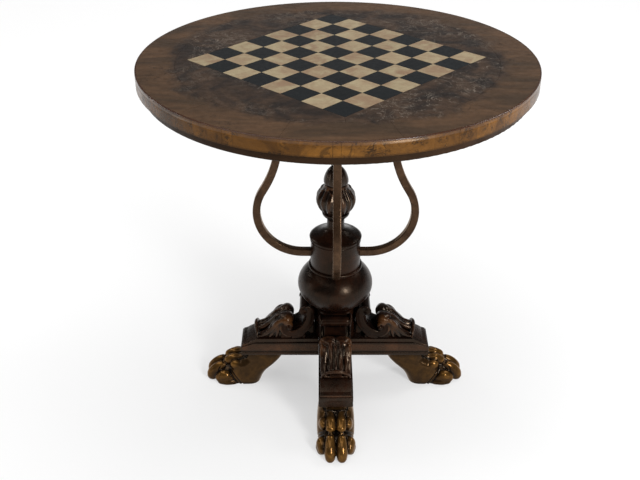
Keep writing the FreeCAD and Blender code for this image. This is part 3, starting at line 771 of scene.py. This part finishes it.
def add_relief(mesh, steps=24, scale=0.0006, name="relief"):
    """Stores how far each vertex stands proud of its smoothed surroundings."""
    count = len(mesh.vertices)
    points, normals = np.empty(count * 3), np.empty(count * 3)
    mesh.vertices.foreach_get("co", points)
    mesh.vertices.foreach_get("normal", normals)
    points, normals = points.reshape(-1, 3), normals.reshape(-1, 3)
    pairs = np.empty(len(mesh.edges) * 2, int)
    mesh.edges.foreach_get("vertices", pairs)
    first, second = pairs.reshape(-1, 2).T
    links = np.maximum(np.bincount(first, minlength=count) + np.bincount(second, minlength=count), 1)
    smooth = points.copy()
    for _ in range(steps):
        total = np.empty_like(smooth)
        for axis in range(3):
            total[:, axis] = (np.bincount(first, smooth[second, axis], count)
                              + np.bincount(second, smooth[first, axis], count))
        smooth = total / links[:, None]
    add_value(mesh, name, np.clip(((points - smooth) * normals).sum(1) / scale, -1, 1))


def add_golden(mesh, centres, reach):
    """Stores how near each vertex is to the rounded lobes that turn amber, partly rubbed wood and partly a
    painted sheen.
    """
    spots = [Vector((x, y * side, z)) * MM for side in (-1, 1) for x, y, z in centres]
    nearest = [min((vert.co - spot).length for spot in spots) for vert in mesh.vertices]
    add_value(mesh, "golden", [max(0.0, min(1.0, 1.8 * (1 - away / (reach * MM)))) for away in nearest])


def to_mesh(bm, name, sharp=None):
    """Finished mesh: normals out, smooth, with edges sharper than the limit kept crisp."""
    bmesh.ops.remove_doubles(bm, verts=bm.verts, dist=WELD)
    bmesh.ops.recalc_face_normals(bm, faces=bm.faces)
    for face in bm.faces:
        face.smooth = True
    if sharp:
        for edge in bm.edges:
            edge.smooth = len(edge.link_faces) != 2 or edge.calc_face_angle() < math.radians(sharp)
    mesh = bpy.data.meshes.new(name)
    bm.to_mesh(mesh)
    bm.free()
    return mesh


def place_piece(mesh, name, material, node, turn=0):
    """Piece in place of a CAD node, riding with the table."""
    if turn:
        mesh = mesh.copy()
        mesh.transform(Matrix.Rotation(math.radians(turn), 4, "Z"))
    mesh.name = name
    mesh.materials.clear()
    mesh.materials.append(material)
    piece = bpy.data.objects.new(name, mesh)
    bpy.context.scene.collection.objects.link(piece)
    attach(piece, "root")
    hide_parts(node)


def on_each_leg(mesh, kind, material):
    """The finished mesh on all four legs."""
    for side, turn in LEG_TURNS.items():
        place_piece(mesh, "carved_%s_%s" % (kind, side), material, "%s_%s" % (kind, side), turn)


def coat(material, *names):
    """Material on CAD nodes."""
    for name in names:
        slots = NODES[name].data.materials
        slots.clear()
        slots.append(material)


# Carved forms

def scroll_forms(bm):
    """C-scroll across the leg: broad band with thin raised edges, volute roll and curl."""
    band = [(56, 206), (51.5, 196), (51, 182), (55, 168), (62.5, 156), (73, 146.5), (84, 141), (95, 138.5),
            (105.5, 141.5), (112, 149.5), (112, 159), (106, 165)]
    band_half, thin, swell = 32, 4.0, 3.6
    path, _ = curve_through(at_side(0, band), per_span=4)
    rings = []
    for i, place in enumerate(path):
        normal = tangent_at(path, i).cross(Vector((0, 1, 0)))
        thick = thin + swell * math.sin(math.pi * min(1.0, i / len(path) * 1.15)) ** 0.5
        across, upward = Vector((0, band_half * MM, 0)), normal * thick * MM
        rings.append(ring(bm, place * MM, across + upward, across - upward, 4))
    bridged(bm, rings)
    outer = [(66, 212), (57, 210), (50, 204), (47, 194), (46.8, 180), (50.5, 165.5), (58.5, 151.5),
             (69.5, 141), (82, 135), (95, 133), (107, 136), (115.5, 146), (116.5, 158), (111, 167.5),
             (103, 170)]
    middle = [(62, 207), (56, 203), (54.5, 193), (55, 182), (58.5, 168), (66, 156), (76.5, 146.5),
              (87, 141.5), (96, 140), (105.5, 143), (110.5, 150.5), (109.5, 160), (103, 165)]
    both_sides(bm, at_side(band_half, middle), [5.5, 7.5] + [9] * 5 + [7.6, 6.6, 6, 5.4, 4.8, 4], 0.3)
    both_sides(bm, at_side(band_half + 0.4, outer), [1.4] + [1.7] * 12 + [1.5, 1.2], 1.1)
    roll_half, roll_radius = 24, 11
    roll = [(67, -roll_half, 197.5), (67, roll_half, 197.5)]
    strand(bm, roll, [roll_radius] * 2, per_span=2, segments=24)
    for side in (-1, 1):
        blob(bm, (70.5, 31 * side, 197), (7.4, 4.8, 9.6), 12)
        blob(bm, (99.5, 31 * side, 154), (5.4, 4.4, 6.2), 20)
    hook = [(60, 33, 209), (68.5, 33.5, 210), (75.5, 33, 205), (78.5, 32, 197)]
    both_sides(bm, hook, [2.0, 2.6, 2.4, 1.6])
    back = [(52, 206), (45.8, 198), (45.8, 136), (53, 133), (62, 142), (70, 145), (70, 168), (66, 188),
            (60, 204)]
    foot = [(66, 124.8), (66, 146), (76, 141), (95, 138), (118, 140), (121, 124.8)]
    slab(bm, back, 24)
    slab(bm, foot, 30)
    under_band = [(58, 0, 150), (74, 0, 136), (96, 0, 131)]
    strand(bm, under_band, [4.0, 5.0, 4.5], 6.3)
    low_curl = [(66, 30, 146), (70, 31, 137), (80, 31, 130.5), (94, 31, 127.5)]
    both_sides(bm, low_curl, [2.6, 3.2, 3.0, 2.4])


def leaf_forms(bm, sizes):
    """Leaf whose smooth crest parts into ribs, with hooked fronds and a bowed lip at its end."""
    middle = [(99.5, 125.2), (99.5, 150), (92, 160), (95, 170), (104, 175), (115, 174), (126, 168),
              (136, 160), (144, 152.5), (152, 147), (160, 144), (167, 142.5), (172, 146), (173, 141),
              (171, 134), (170.5, 125.2)]
    sides = [(106, 125.2), (106, 146), (100, 156), (100, 163), (106, 166), (116, 164), (126, 157),
             (134, 147), (142, 138), (150, 131), (158, 128), (165, 127.5), (170, 131), (170.5, 125.2)]
    slab(bm, middle, 12)
    slab(bm, sides, 26.5)
    for side in (-1, 1):
        crest = [(104.8, 5 * side, 168.4), (105.4, 14 * side, 169.2), (106.6, 21.5 * side, 168.6)]
        strand(bm, crest, [13.2, 14.6, 14.0], per_span=4, segments=28)
        blob(bm, (112.5, 14 * side, 169.5), (13, 17, 13.2), 32)
    rib, frond, frond_side = sizes.rib_radius / MM, sizes.frond_radius / MM, 28.4
    ridge = ((109, 175.5), (118, 176), (127.5, 171), (136, 163.5), (144, 156), (152, 150.5), (160, 147),
             (167, 145.5))
    ridge_shares = (0.6, 0.9, 1.05, 1.0, 0.92, 0.88, 0.84, 0.7)
    for offset, drop, fall, size, sway in ((0, 1.6, 0.0, 1.0, 0.0), (10.5, 0.8, 0.5, 1.5, 0.9),
                                           (22.5, 4.0, 1.75, 1.6, -1.0)):
        points = [(x + offset * 0.04, offset + sway * math.sin(i * 1.1), z - drop - fall * i)
                  for i, (x, z) in enumerate(ridge)]
        radii = [rib * size * s for s in ridge_shares]
        if offset:
            both_sides(bm, points, radii)
        else:
            strand(bm, points, radii)
    side_fronds = (
        ([(124, 166), (113, 170), (103.5, 168), (97, 161), (95.5, 154)], (0.8, 1.25, 1.3, 1.05, 0.6)),
        ([(119, 160), (111, 160), (105, 155.5), (103.5, 149)], (0.7, 0.95, 0.85, 0.5)),
        ([(119, 162), (118.5, 149), (114, 138), (106, 131.5), (98, 129.5)], (0.7, 0.95, 1.0, 0.9, 0.6)),
        ([(113, 173), (122, 170), (130.5, 161.5), (138, 151), (146, 141.5), (154, 134)],
         (0.8, 1.25, 1.4, 1.2, 1.0, 0.8)),
        ([(120, 165), (127.5, 157), (133.5, 146), (139, 136.5), (145, 129)], (0.8, 1.15, 1.1, 0.95, 0.65)),
        ([(121, 159), (126, 149), (128, 138), (131, 128)], (0.75, 1.0, 0.95, 0.6)),
        ([(140, 154), (147, 145), (154, 137), (161, 131.5), (168, 129.5)], (0.7, 1.0, 1.0, 0.8, 0.5)),
    )
    for points, shares in side_fronds:
        both_sides(bm, at_side(frond_side, points), [frond * s for s in shares])
    lip = [(171.5, 29.8, 127), (172.5, 28.6, 133), (174, 22, 140), (175.6, 11, 145), (176, 0, 146.5)]
    lip += [(x, -y, z) for x, y, z in reversed(lip[:-1])]
    strand(bm, lip, [2.0, 2.6, 3.3, 4.0, 4.3, 4.0, 3.3, 2.6, 2.0])


def leaf_grooves(bm):
    """Seam over the middle of the leaf's crest."""
    crest = [(91, 163), (94, 173), (101, 181), (110, 183), (119, 179), (127, 172)]
    scribe(bm, at_side(0, crest), width=3.0, depth=2.2, mirrored=False)


def paw_forms(bm):
    """Ankle, heel, pads, tendons and toes of one paw."""
    squareness = 3.2
    levels = ((86, 115, 208, 34), (76, 115, 208, 34), (68, 119, 207, 34.5), (62, 123, 212, 35.5),
              (56, 128, 223, 36.5), (50, 134, 231, 38), (43, 142, 237, 39), (35, 151, 240, 39.6),
              (26, 158, 242, 39.8), (17, 163, 243, 39.4), (9, 166, 243, 38.6), (2, 169, 240, 37.5),
              (-4, 171, 236, 36))
    rings = []
    for z, back, tip, half_y in levels:
        x, half_x = (back + tip) / 2, (tip - back) / 2
        across, upward = Vector((half_x * MM, 0, 0)), Vector((0, half_y * MM, 0))
        edges = ring(bm, Vector((x, 0, z)) * MM, across, upward, 48)
        for vert in {v for e in edges for v in e.verts}:
            aside, along = vert.co.y / (half_y * MM), (vert.co.x - x * MM) / (half_x * MM)
            full = (abs(aside) ** squareness + abs(along) ** squareness) ** (-1 / squareness)
            vert.co.y *= full
            vert.co.x = x * MM + (vert.co.x - x * MM) * full
        rings.append(edges)
    bridged(bm, rings)
    tendon = [(188, 72), (203, 61.5), (216, 57), (229, 55.5), (241, 50.5)]
    outer_toe = [(228, 28, 6), (240, 29, 12.5), (250, 29.2, 17), (259, 28, 12.5)]
    outer_pad = [(230, 31.5, 3), (246, 33, 5), (259, 30.5, 5)]
    inner_toe = [(255, 11.8, 38), (263, 12.1, 32), (271, 12.2, 24), (277.5, 12.2, 15.5), (280, 12.2, 9)]
    both_sides(bm, at_side(11, tendon), [8.6, 9.0, 9.6, 11.8, 10.8], 0.96)
    for side in (-1, 1):
        blob(bm, (216, 25.5 * side, 42), (23, 10.8, 15), 32)
    both_sides(bm, outer_toe, [8, 12.5, 16, 14], 0.76, per_span=4)
    both_sides(bm, outer_pad, [8, 9.4, 8.6], per_span=4)
    both_sides(bm, inner_toe, [9.5, 12.4, 14.2, 14.6, 13.4], 0.84)
    blob(bm, (240, 0, 20), (26, 30, 22), 12)


def paw_grooves(bm):
    """Double line round the paw's waist and the folds between toes and tendons."""
    waist = [(213, 38, -1), (221, 39, 11), (230, 39, 24), (238.5, 34, 35), (246, 25, 43), (251.5, 12, 47.5),
             (250, 0, 44)]
    for shift in (-5.2, 2.6):
        scribe(bm, [(x - shift, y, z) for x, y, z in waist], width=2.7, depth=2.5, strict=0.22)
    toe_fold = [(258, 21.5, 42), (264, 21.4, 32), (268, 21.2, 20), (270, 21, 8)]
    tendon_fold = [(188, 21.5, 80), (200, 21.5, 68), (212, 21.5, 60), (226, 21.8, 53), (238, 22, 46)]
    hollow = [(184, 25, 80), (194, 25, 75), (202, 24, 69)]
    middle_fold = [(190, 0, 82), (204, 0, 70), (222, 0, 64), (240, 0, 58), (252, 0, 46)]
    scribe(bm, toe_fold, width=2.4, depth=2.0)
    scribe(bm, tendon_fold, width=2.6, depth=2.4)
    scribe(bm, hollow, width=6.0, depth=4.0)
    scribe(bm, middle_fold, width=2.4, depth=1.6, mirrored=False)


def rail_outline(foot, top, nose_top, nose, inner):
    """Side outline of a rail with a curved slope at its end."""
    start = nose - 34
    fall = top - nose_top
    return [(inner, foot), (inner, top), (start, top), (start + 6, top - fall * 0.16),
            (start + 11.3, top - fall / 3), (start + 18, top - fall * 0.53),
            (nose - 8.5, nose_top + fall / 6), (nose, nose_top), (nose, foot)]


def rail_piece(bm):
    """Rail of a bead, a groove, a main face and a narrower step on top."""
    low, high = RAIL_LOW / MM, RAIL_HIGH / MM
    seat_gap, edge_gap, half = 0.2, 0.4, high.y
    inner, nose, foot = low.x + seat_gap, high.x, low.z
    main = slab(bm, rail_outline(foot + 12, foot + 34, foot + 23, nose, inner), half)
    step = slab(bm, rail_outline(foot + 12, high.z - seat_gap, foot + 27.5, nose - 3, inner), half - 3)
    for verts, width in ((main, 1.3), (step, 1.1)):
        chosen = set(verts)
        edges = [e for e in bm.edges if all(v in chosen for v in e.verts)
                 and e.calc_face_angle(0) > 0.25 and min(v.co.x for v in e.verts) > (inner + 1) * MM]
        bmesh.ops.bevel(bm, geom=edges, offset=width * MM, offset_type="OFFSET", segments=3, profile=0.5,
                        affect="EDGES", clamp_overlap=True, material=-1)
    bead_and_groove = ((0.1, 1.6), (1.4, 0.4), (3.0, 0.0), (5.5, 0.0), (7.2, 0.5), (8.2, 1.6), (8.6, 2.6),
                       (11.4, 2.6), (12.4, 1.4), (13.6, 0.5))
    loops = []
    for rise, inset in bead_and_groove:
        end, side = nose - edge_gap, half - inset
        outline = [(inner, -side), (end, -side), (end, side), (inner, side)]
        verts = [bm.verts.new(Vector((x, y, foot + rise)) * MM) for x, y in outline]
        loops.append([bm.edges.new((a, b)) for a, b in zip(verts, verts[1:] + verts[:1])])
    bridged(bm, loops)


def spun(bm, path, steps, closed=False):
    """Outline turned round the post's axis."""
    verts = [bm.verts.new(p) for p in path]
    pairs = list(zip(verts, verts[1:])) + ([(verts[-1], verts[0])] if closed else [])
    edges = [bm.edges.new(pair) for pair in pairs]
    bmesh.ops.spin(bm, geom=verts + edges, cent=(0, 0, 0), axis=(0, 0, 1), angle=math.tau, steps=steps,
                   use_merge=True, use_duplicate=False)
    bmesh.ops.remove_doubles(bm, verts=bm.verts, dist=WELD)


def calyx_piece(bm, sizes):
    """Fluted leaves round the finial, each with a raised lip at its pointed tip."""
    low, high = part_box("finial_calyx")
    outline = ((0.58, 0.0), (0.68, 0.05), (0.77, 0.11), (0.87, 0.2), (0.95, 0.31), (1.0, 0.42), (1.01, 0.5),
               (0.98, 0.59), (0.91, 0.68), (0.82, 0.77), (0.74, 0.85), (0.68, 0.92), (0.64, 1.0))
    bore, radius, tall = 10.5 * MM, high.x * 1.05, high.z - low.z
    groove, seam_depth, lip_rise, allowance = 3.0 * MM, 3.4 * MM, 0.9 * MM, 0.6 * MM
    path, _ = curve_through([(r * radius, 0, low.z + h * tall) for r, h in outline], per_span=6)
    spun(bm, [Vector((bore, 0, low.z)), *path, Vector((bore, 0, high.z))], 288, closed=True)
    for vert in bm.verts:
        distance = math.hypot(vert.co.x, vert.co.y)
        if distance < bore + MM:
            continue
        rise = (vert.co.z - low.z) / tall
        turn = math.atan2(vert.co.y, vert.co.x) - math.pi / 4
        leaf = (turn * sizes.leaf_count / math.tau) % 1.0
        across = abs(2 * min(leaf, 1 - leaf))
        tip = 0.78 + 0.2 * (1 - across) ** 0.8
        edge = max(0.0, min(1.0, (tip - rise) / 0.035))
        flute = math.cos(across ** 0.9 * math.pi * sizes.flute_count * (1.12 - 0.35 * rise))
        seam = max(0.0, 1 - abs(across - 1) / 0.12)
        depth = sizes.flute_depth * (0.5 - 0.5 * flute) ** 1.5 * min(1.0, rise / 0.2) * edge
        depth += groove * (1 - edge) + seam_depth * seam * edge * min(1.0, rise / 0.15)
        depth -= lip_rise * math.exp(-((tip - rise - 0.03) / 0.03) ** 2) * edge
        factor = (distance - depth - allowance) / distance
        vert.co.x *= factor
        vert.co.y *= factor


def bud_piece(bm):
    """Smooth bud with shallow lobes and a dark neck at its base."""
    seat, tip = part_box("finial_calyx")[1].z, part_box("finial_bud")[1].z
    outline = ((0.86, -0.12), (0.9, -0.02), (0.98, 0.06), (1.02, 0.16), (1.0, 0.3), (0.93, 0.45), (0.83, 0.6),
               (0.68, 0.75), (0.48, 0.88), (0.26, 0.96), (0.001, 1.0))
    radius, tall, lobe_depth = 25.2 * MM, tip - seat, 0.06
    path, _ = curve_through([(r * radius, 0, seat + h * tall) for r, h in outline])
    path[-1].x = 0.0
    spun(bm, [Vector((0.0, 0.0, path[0].z)), *path], 144)
    for vert in bm.verts:
        turn = math.atan2(vert.co.y, vert.co.x)
        factor = 1 - lobe_depth * (1 - abs(math.cos(turn * 2))) ** 2
        vert.co.x *= factor
        vert.co.y *= factor


# Studio

def shown_to_eye(tree):
    """Mask of the rays that show a background: seen straight, mirrored or through glass."""
    rays = tree.nodes.new("ShaderNodeLightPath").outputs
    return largest(tree, rays["Is Camera Ray"], rays["Is Glossy Ray"], rays["Is Transmission Ray"])


def lay_floor(sizes):
    """Wide pale floor, less pale round the table, where a painted shadow lies, and paler far from it."""
    mesh = bpy.data.meshes.new("floor")
    bm = bmesh.new()
    bmesh.ops.create_grid(bm, x_segments=2, y_segments=2, size=9.0)
    bm.to_mesh(mesh)
    bm.free()
    floor = bpy.data.objects.new("studio_floor", mesh)
    bpy.context.scene.collection.objects.link(floor)
    material, tree, place = start_material("pale_floor")
    haze = span(tree, noise(tree, place, 1.5, 2.0, rough=0.55), 0.2, 0.8, 0.0, 0.03)
    # Paleness lower round the table: a painted shadow.
    glow = span(tree, vector_calc(tree, "LENGTH", place), 0.4, 1.6, sizes.floor_glow, sizes.floor_far)
    values = {"Base Color": layered(tree, sizes.floor, (haze, 1.0, shaded(sizes.floor, 0.9))),
              "Roughness": 0.9, "Specular IOR Level": 0.1,
              "Emission Color": times(tree, shown_to_eye(tree), glow), "Emission Strength": 1.0}
    fill(tree, tree.nodes["Principled BSDF"], values)
    mesh.materials.append(material)


def surround(sizes):
    """Dim even surroundings that look white low down."""
    world = bpy.data.worlds.new("studio")
    bpy.context.scene.world = world
    world.use_nodes = True
    tree = world.node_tree
    rise = parted(tree, tree.nodes.new("ShaderNodeTexCoord").outputs["Generated"])["Z"]
    low = span(tree, rise, 0.13, 0.04, 0.0, sizes.backdrop - sizes.sky)
    strength = calc(tree, "MULTIPLY_ADD", shown_to_eye(tree), low, sizes.sky)
    fill(tree, tree.nodes["Background"], {"Color": (1.0, 1.0, 1.0), "Strength": strength})


def hang_lamp(lamp, strength, place, aim):
    """Lamp at a place, turned towards what it lights."""
    lamp.energy = strength
    holder = bpy.data.objects.new("lamp_" + lamp.name, lamp)
    bpy.context.scene.collection.objects.link(holder)
    holder.location = place
    holder.rotation_euler = (Vector(aim) - Vector(place)).to_track_quat("-Z", "Y").to_euler()


def light_table(sizes):
    """One even light from above and five soft boxes round the table."""
    above = bpy.data.lights.new("above", "SUN")
    above.angle = math.radians(70)
    hang_lamp(above, sizes.overhead, (-0.4, -0.1, 3.0), (0.0, 0.0, 0.0))
    boxes = (("left", sizes.left, (-2.8, -0.2, 0.8), 0.35, 0.7),
             ("front", sizes.front, (1.5, -2.3, 1.6), 0.6, 1.1),
             ("back", sizes.back, (-2.2, 1.2, 1.9), 0.5, 0.5),
             ("right", sizes.right, (1.7, 0.9, 2.4), 0.7, 0.7),
             ("low", sizes.low, (0.3, 3.2, 1.75), 2.6, 0.6))
    for name, strength, place, wide, high in boxes:
        lamp = bpy.data.lights.new(name, "AREA")
        lamp.shape = "RECTANGLE"
        lamp.size, lamp.size_y = wide, high
        hang_lamp(lamp, strength, place, (0.0, 0.0, 0.35))


def stand_camera(sizes):
    """Camera where the photograph was taken from."""
    camera = bpy.data.cameras.new("camera")
    camera.sensor_width = 36.0
    camera.lens = sizes.lens
    eye = bpy.data.objects.new("camera", camera)
    bpy.context.scene.collection.objects.link(eye)
    eye.location = sizes.camera_place
    eye.rotation_euler = (sizes.camera_tilt, 0.0, 0.0)
    bpy.context.scene.camera = eye


# Operators

class TableStep:
    bl_options = {"REGISTER", "UNDO"}


class GAMES_TABLE_OT_top(TableStep, bpy.types.Operator):
    """Finishes the veneers, squares, rim and apron of the top"""
    bl_idname = "games_table.top"
    bl_label = "Top"

    def execute(self, context):
        look = context.scene.games_table_top
        lengthwise = math.pi / 2
        coat(veneer_material("border_veneer", look), "border_veneer")
        coat(veneer_material("field_marble", look), "field_veneer")
        coat(light_tile_material(look), "light_squares")
        coat(dark_tile_material(look), "dark_squares")
        coat(rim_material(look), "edge_band")
        apron_dark = shaded(look.apron, 0.4)
        coat(panel_material("apron_wood", look.apron, apron_dark, 60.0, lengthwise), "apron_panel")
        coat(panel_material("core_board", look.core, look.core_dark, 50.0, lengthwise), "top_core")
        return {"FINISHED"}


class GAMES_TABLE_OT_post(TableStep, bpy.types.Operator):
    """Polishes the turned post, from the hub to the finial's cup"""
    bl_idname = "games_table.post"
    bl_label = "Post"

    def execute(self, context):
        coat(polished_material(context.scene.games_table_base), "hub_block", "ball", "bead_ring", "drum",
             "collar_ring", "domed_cap", "finial_cup")
        return {"FINISHED"}


class GAMES_TABLE_OT_brackets(TableStep, bpy.types.Operator):
    """Gives the bent iron brackets and their foot plates a bronzed finish"""
    bl_idname = "games_table.brackets"
    bl_label = "Brackets"

    def execute(self, context):
        names = [kind + side for kind in ("bracket_", "foot_plate_") for side in LEG_TURNS]
        coat(iron_material(context.scene.games_table_base), *names)
        return {"FINISHED"}


class GAMES_TABLE_OT_fasteners(TableStep, bpy.types.Operator):
    """Finishes the screws, rod, nut, washer and dowels"""
    bl_idname = "games_table.fasteners"
    bl_label = "Fasteners and dowels"

    def execute(self, context):
        look = context.scene.games_table_base
        coat(steel_material(look), "apron_screws", "foot_plate_screws", "bracket_studs", "tie_rod", "tie_nut",
             "tie_washer", "carving_screws")
        coat(panel_material("dowel_wood", look.dowel, shaded(look.dowel, 0.7), 300.0), "rail_dowels",
             "paw_dowels")
        return {"FINISHED"}


class GAMES_TABLE_OT_finial(TableStep, bpy.types.Operator):
    """Carves the leafy calyx and the bud of the finial"""
    bl_idname = "games_table.finial"
    bl_label = "Finial"

    def execute(self, context):
        material = carved_material("carved_finial_wood", context.scene.games_table_base, rub=-0.1,
                                   level=0.36)
        calyx = to_mesh(shaped(calyx_piece, context.scene.games_table_carving), "carved_calyx")
        add_relief(calyx, steps=20, scale=0.0007)
        place_piece(calyx, "carved_calyx", material, "finial_calyx")
        bud = to_mesh(shaped(bud_piece), "carved_bud")
        add_relief(bud, steps=12, scale=0.0007)
        place_piece(bud, "carved_bud", material, "finial_bud")
        return {"FINISHED"}


class GAMES_TABLE_OT_rails(TableStep, bpy.types.Operator):
    """Moulds the four rails"""
    bl_idname = "games_table.rails"
    bl_label = "Rails"

    def execute(self, context):
        mesh = to_mesh(shaped(rail_piece), "moulded_rail", sharp=28)
        on_each_leg(mesh, "rail", rail_material(context.scene.games_table_base))
        return {"FINISHED"}


class GAMES_TABLE_OT_scrolls(TableStep, bpy.types.Operator):
    """Carves the C-scrolls that stand against the hub"""
    bl_idname = "games_table.scrolls"
    bl_label = "Scrolls"

    def execute(self, context):
        sizes = context.scene.games_table_carving
        mesh = to_mesh(joined(shaped(scroll_forms), sizes.grain, 2, "scroll"), "carved_scroll")
        add_relief(mesh)
        material = carved_material("carved_scroll_wood", context.scene.games_table_base, rub=-0.6,
                                   level=0.14)
        on_each_leg(mesh, "scroll", material)
        return {"FINISHED"}


class GAMES_TABLE_OT_leaves(TableStep, bpy.types.Operator):
    """Carves the leaves that roll down onto the rails"""
    bl_idname = "games_table.leaves"
    bl_label = "Leaves"

    def execute(self, context):
        sizes = context.scene.games_table_carving
        bm = joined(shaped(leaf_forms, sizes), sizes.grain, 2, "leaf")
        leaf_grooves(bm)
        mesh = to_mesh(bm, "carved_leaf")
        add_relief(mesh)
        # Amber on the crest's lobes, both sides alike: partly rubbed wood, partly a painted sheen.
        add_golden(mesh, ((103, 36, 172), (112, 36, 169), (122, 34, 160)), reach=20)
        material = carved_material("carved_leaf_wood", context.scene.games_table_base, rub=-0.5,
                                   level=0.34)
        on_each_leg(mesh, "leaf", material)
        return {"FINISHED"}


class GAMES_TABLE_OT_paws(TableStep, bpy.types.Operator):
    """Carves the four gilded paws"""
    bl_idname = "games_table.paws"
    bl_label = "Paws"

    def execute(self, context):
        sizes = context.scene.games_table_carving
        bm = joined(shaped(paw_forms), sizes.grain * 1.05, 6, "paw")
        paw_grooves(bm)
        cut_level(bm, PAW_LOW.z, False)
        cut_level(bm, PAW_HIGH.z, True)
        mesh = to_mesh(bm, "carved_paw")
        # Broad relief: gold on high parts, stain and painted shade in the hollows.
        add_relief(mesh, steps=70, scale=0.004)
        # Fine relief: its creases take painted shade.
        add_relief(mesh, steps=10, name="crease")
        on_each_leg(mesh, "paw", gilt_material(context.scene.games_table_base))
        return {"FINISHED"}


class GAMES_TABLE_OT_studio(TableStep, bpy.types.Operator):
    """Sets up the floor, the soft light and the camera"""
    bl_idname = "games_table.studio"
    bl_label = "Studio"

    def execute(self, context):
        sizes = context.scene.games_table_studio
        lay_floor(sizes)
        surround(sizes)
        light_table(sizes)
        stand_camera(sizes)
        context.scene.view_settings.view_transform = "Standard"
        return {"FINISHED"}


STEPS = (GAMES_TABLE_OT_top, GAMES_TABLE_OT_post, GAMES_TABLE_OT_brackets, GAMES_TABLE_OT_fasteners,
         GAMES_TABLE_OT_finial, GAMES_TABLE_OT_rails, GAMES_TABLE_OT_scrolls, GAMES_TABLE_OT_leaves,
         GAMES_TABLE_OT_paws, GAMES_TABLE_OT_studio)
SETTINGS = {"games_table_top": TopFinish, "games_table_base": BaseFinish, "games_table_carving": CarvingSizes,
            "games_table_studio": StudioSizes}


class GAMES_TABLE_PT_panel(bpy.types.Panel):
    """Lists the steps that dress the table"""
    bl_label = "Games table"
    bl_idname = "GAMES_TABLE_PT_panel"
    bl_space_type = "VIEW_3D"
    bl_region_type = "UI"
    bl_category = "Games table"

    def draw(self, context):
        for step in STEPS:
            self.layout.operator(step.bl_idname)
        for group_name in SETTINGS:
            settings = getattr(context.scene, group_name)
            box = self.layout.box()
            for name in settings.bl_rna.properties.keys():
                if name not in ("rna_type", "name"):
                    box.prop(settings, name)


CLASSES = tuple(SETTINGS.values()) + STEPS + (GAMES_TABLE_PT_panel,)


def register():
    for cls in CLASSES:
        bpy.utils.register_class(cls)
    for name, cls in SETTINGS.items():
        setattr(bpy.types.Scene, name, PointerProperty(type=cls))


def unregister():
    for name in SETTINGS:
        delattr(bpy.types.Scene, name)
    for cls in reversed(CLASSES):
        bpy.utils.unregister_class(cls)


def main():
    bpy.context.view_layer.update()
    register()
    for step in STEPS:
        family, action = step.bl_idname.split(".")
        getattr(getattr(bpy.ops, family), action)()
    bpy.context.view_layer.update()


if __name__ == "__main__":
    main()
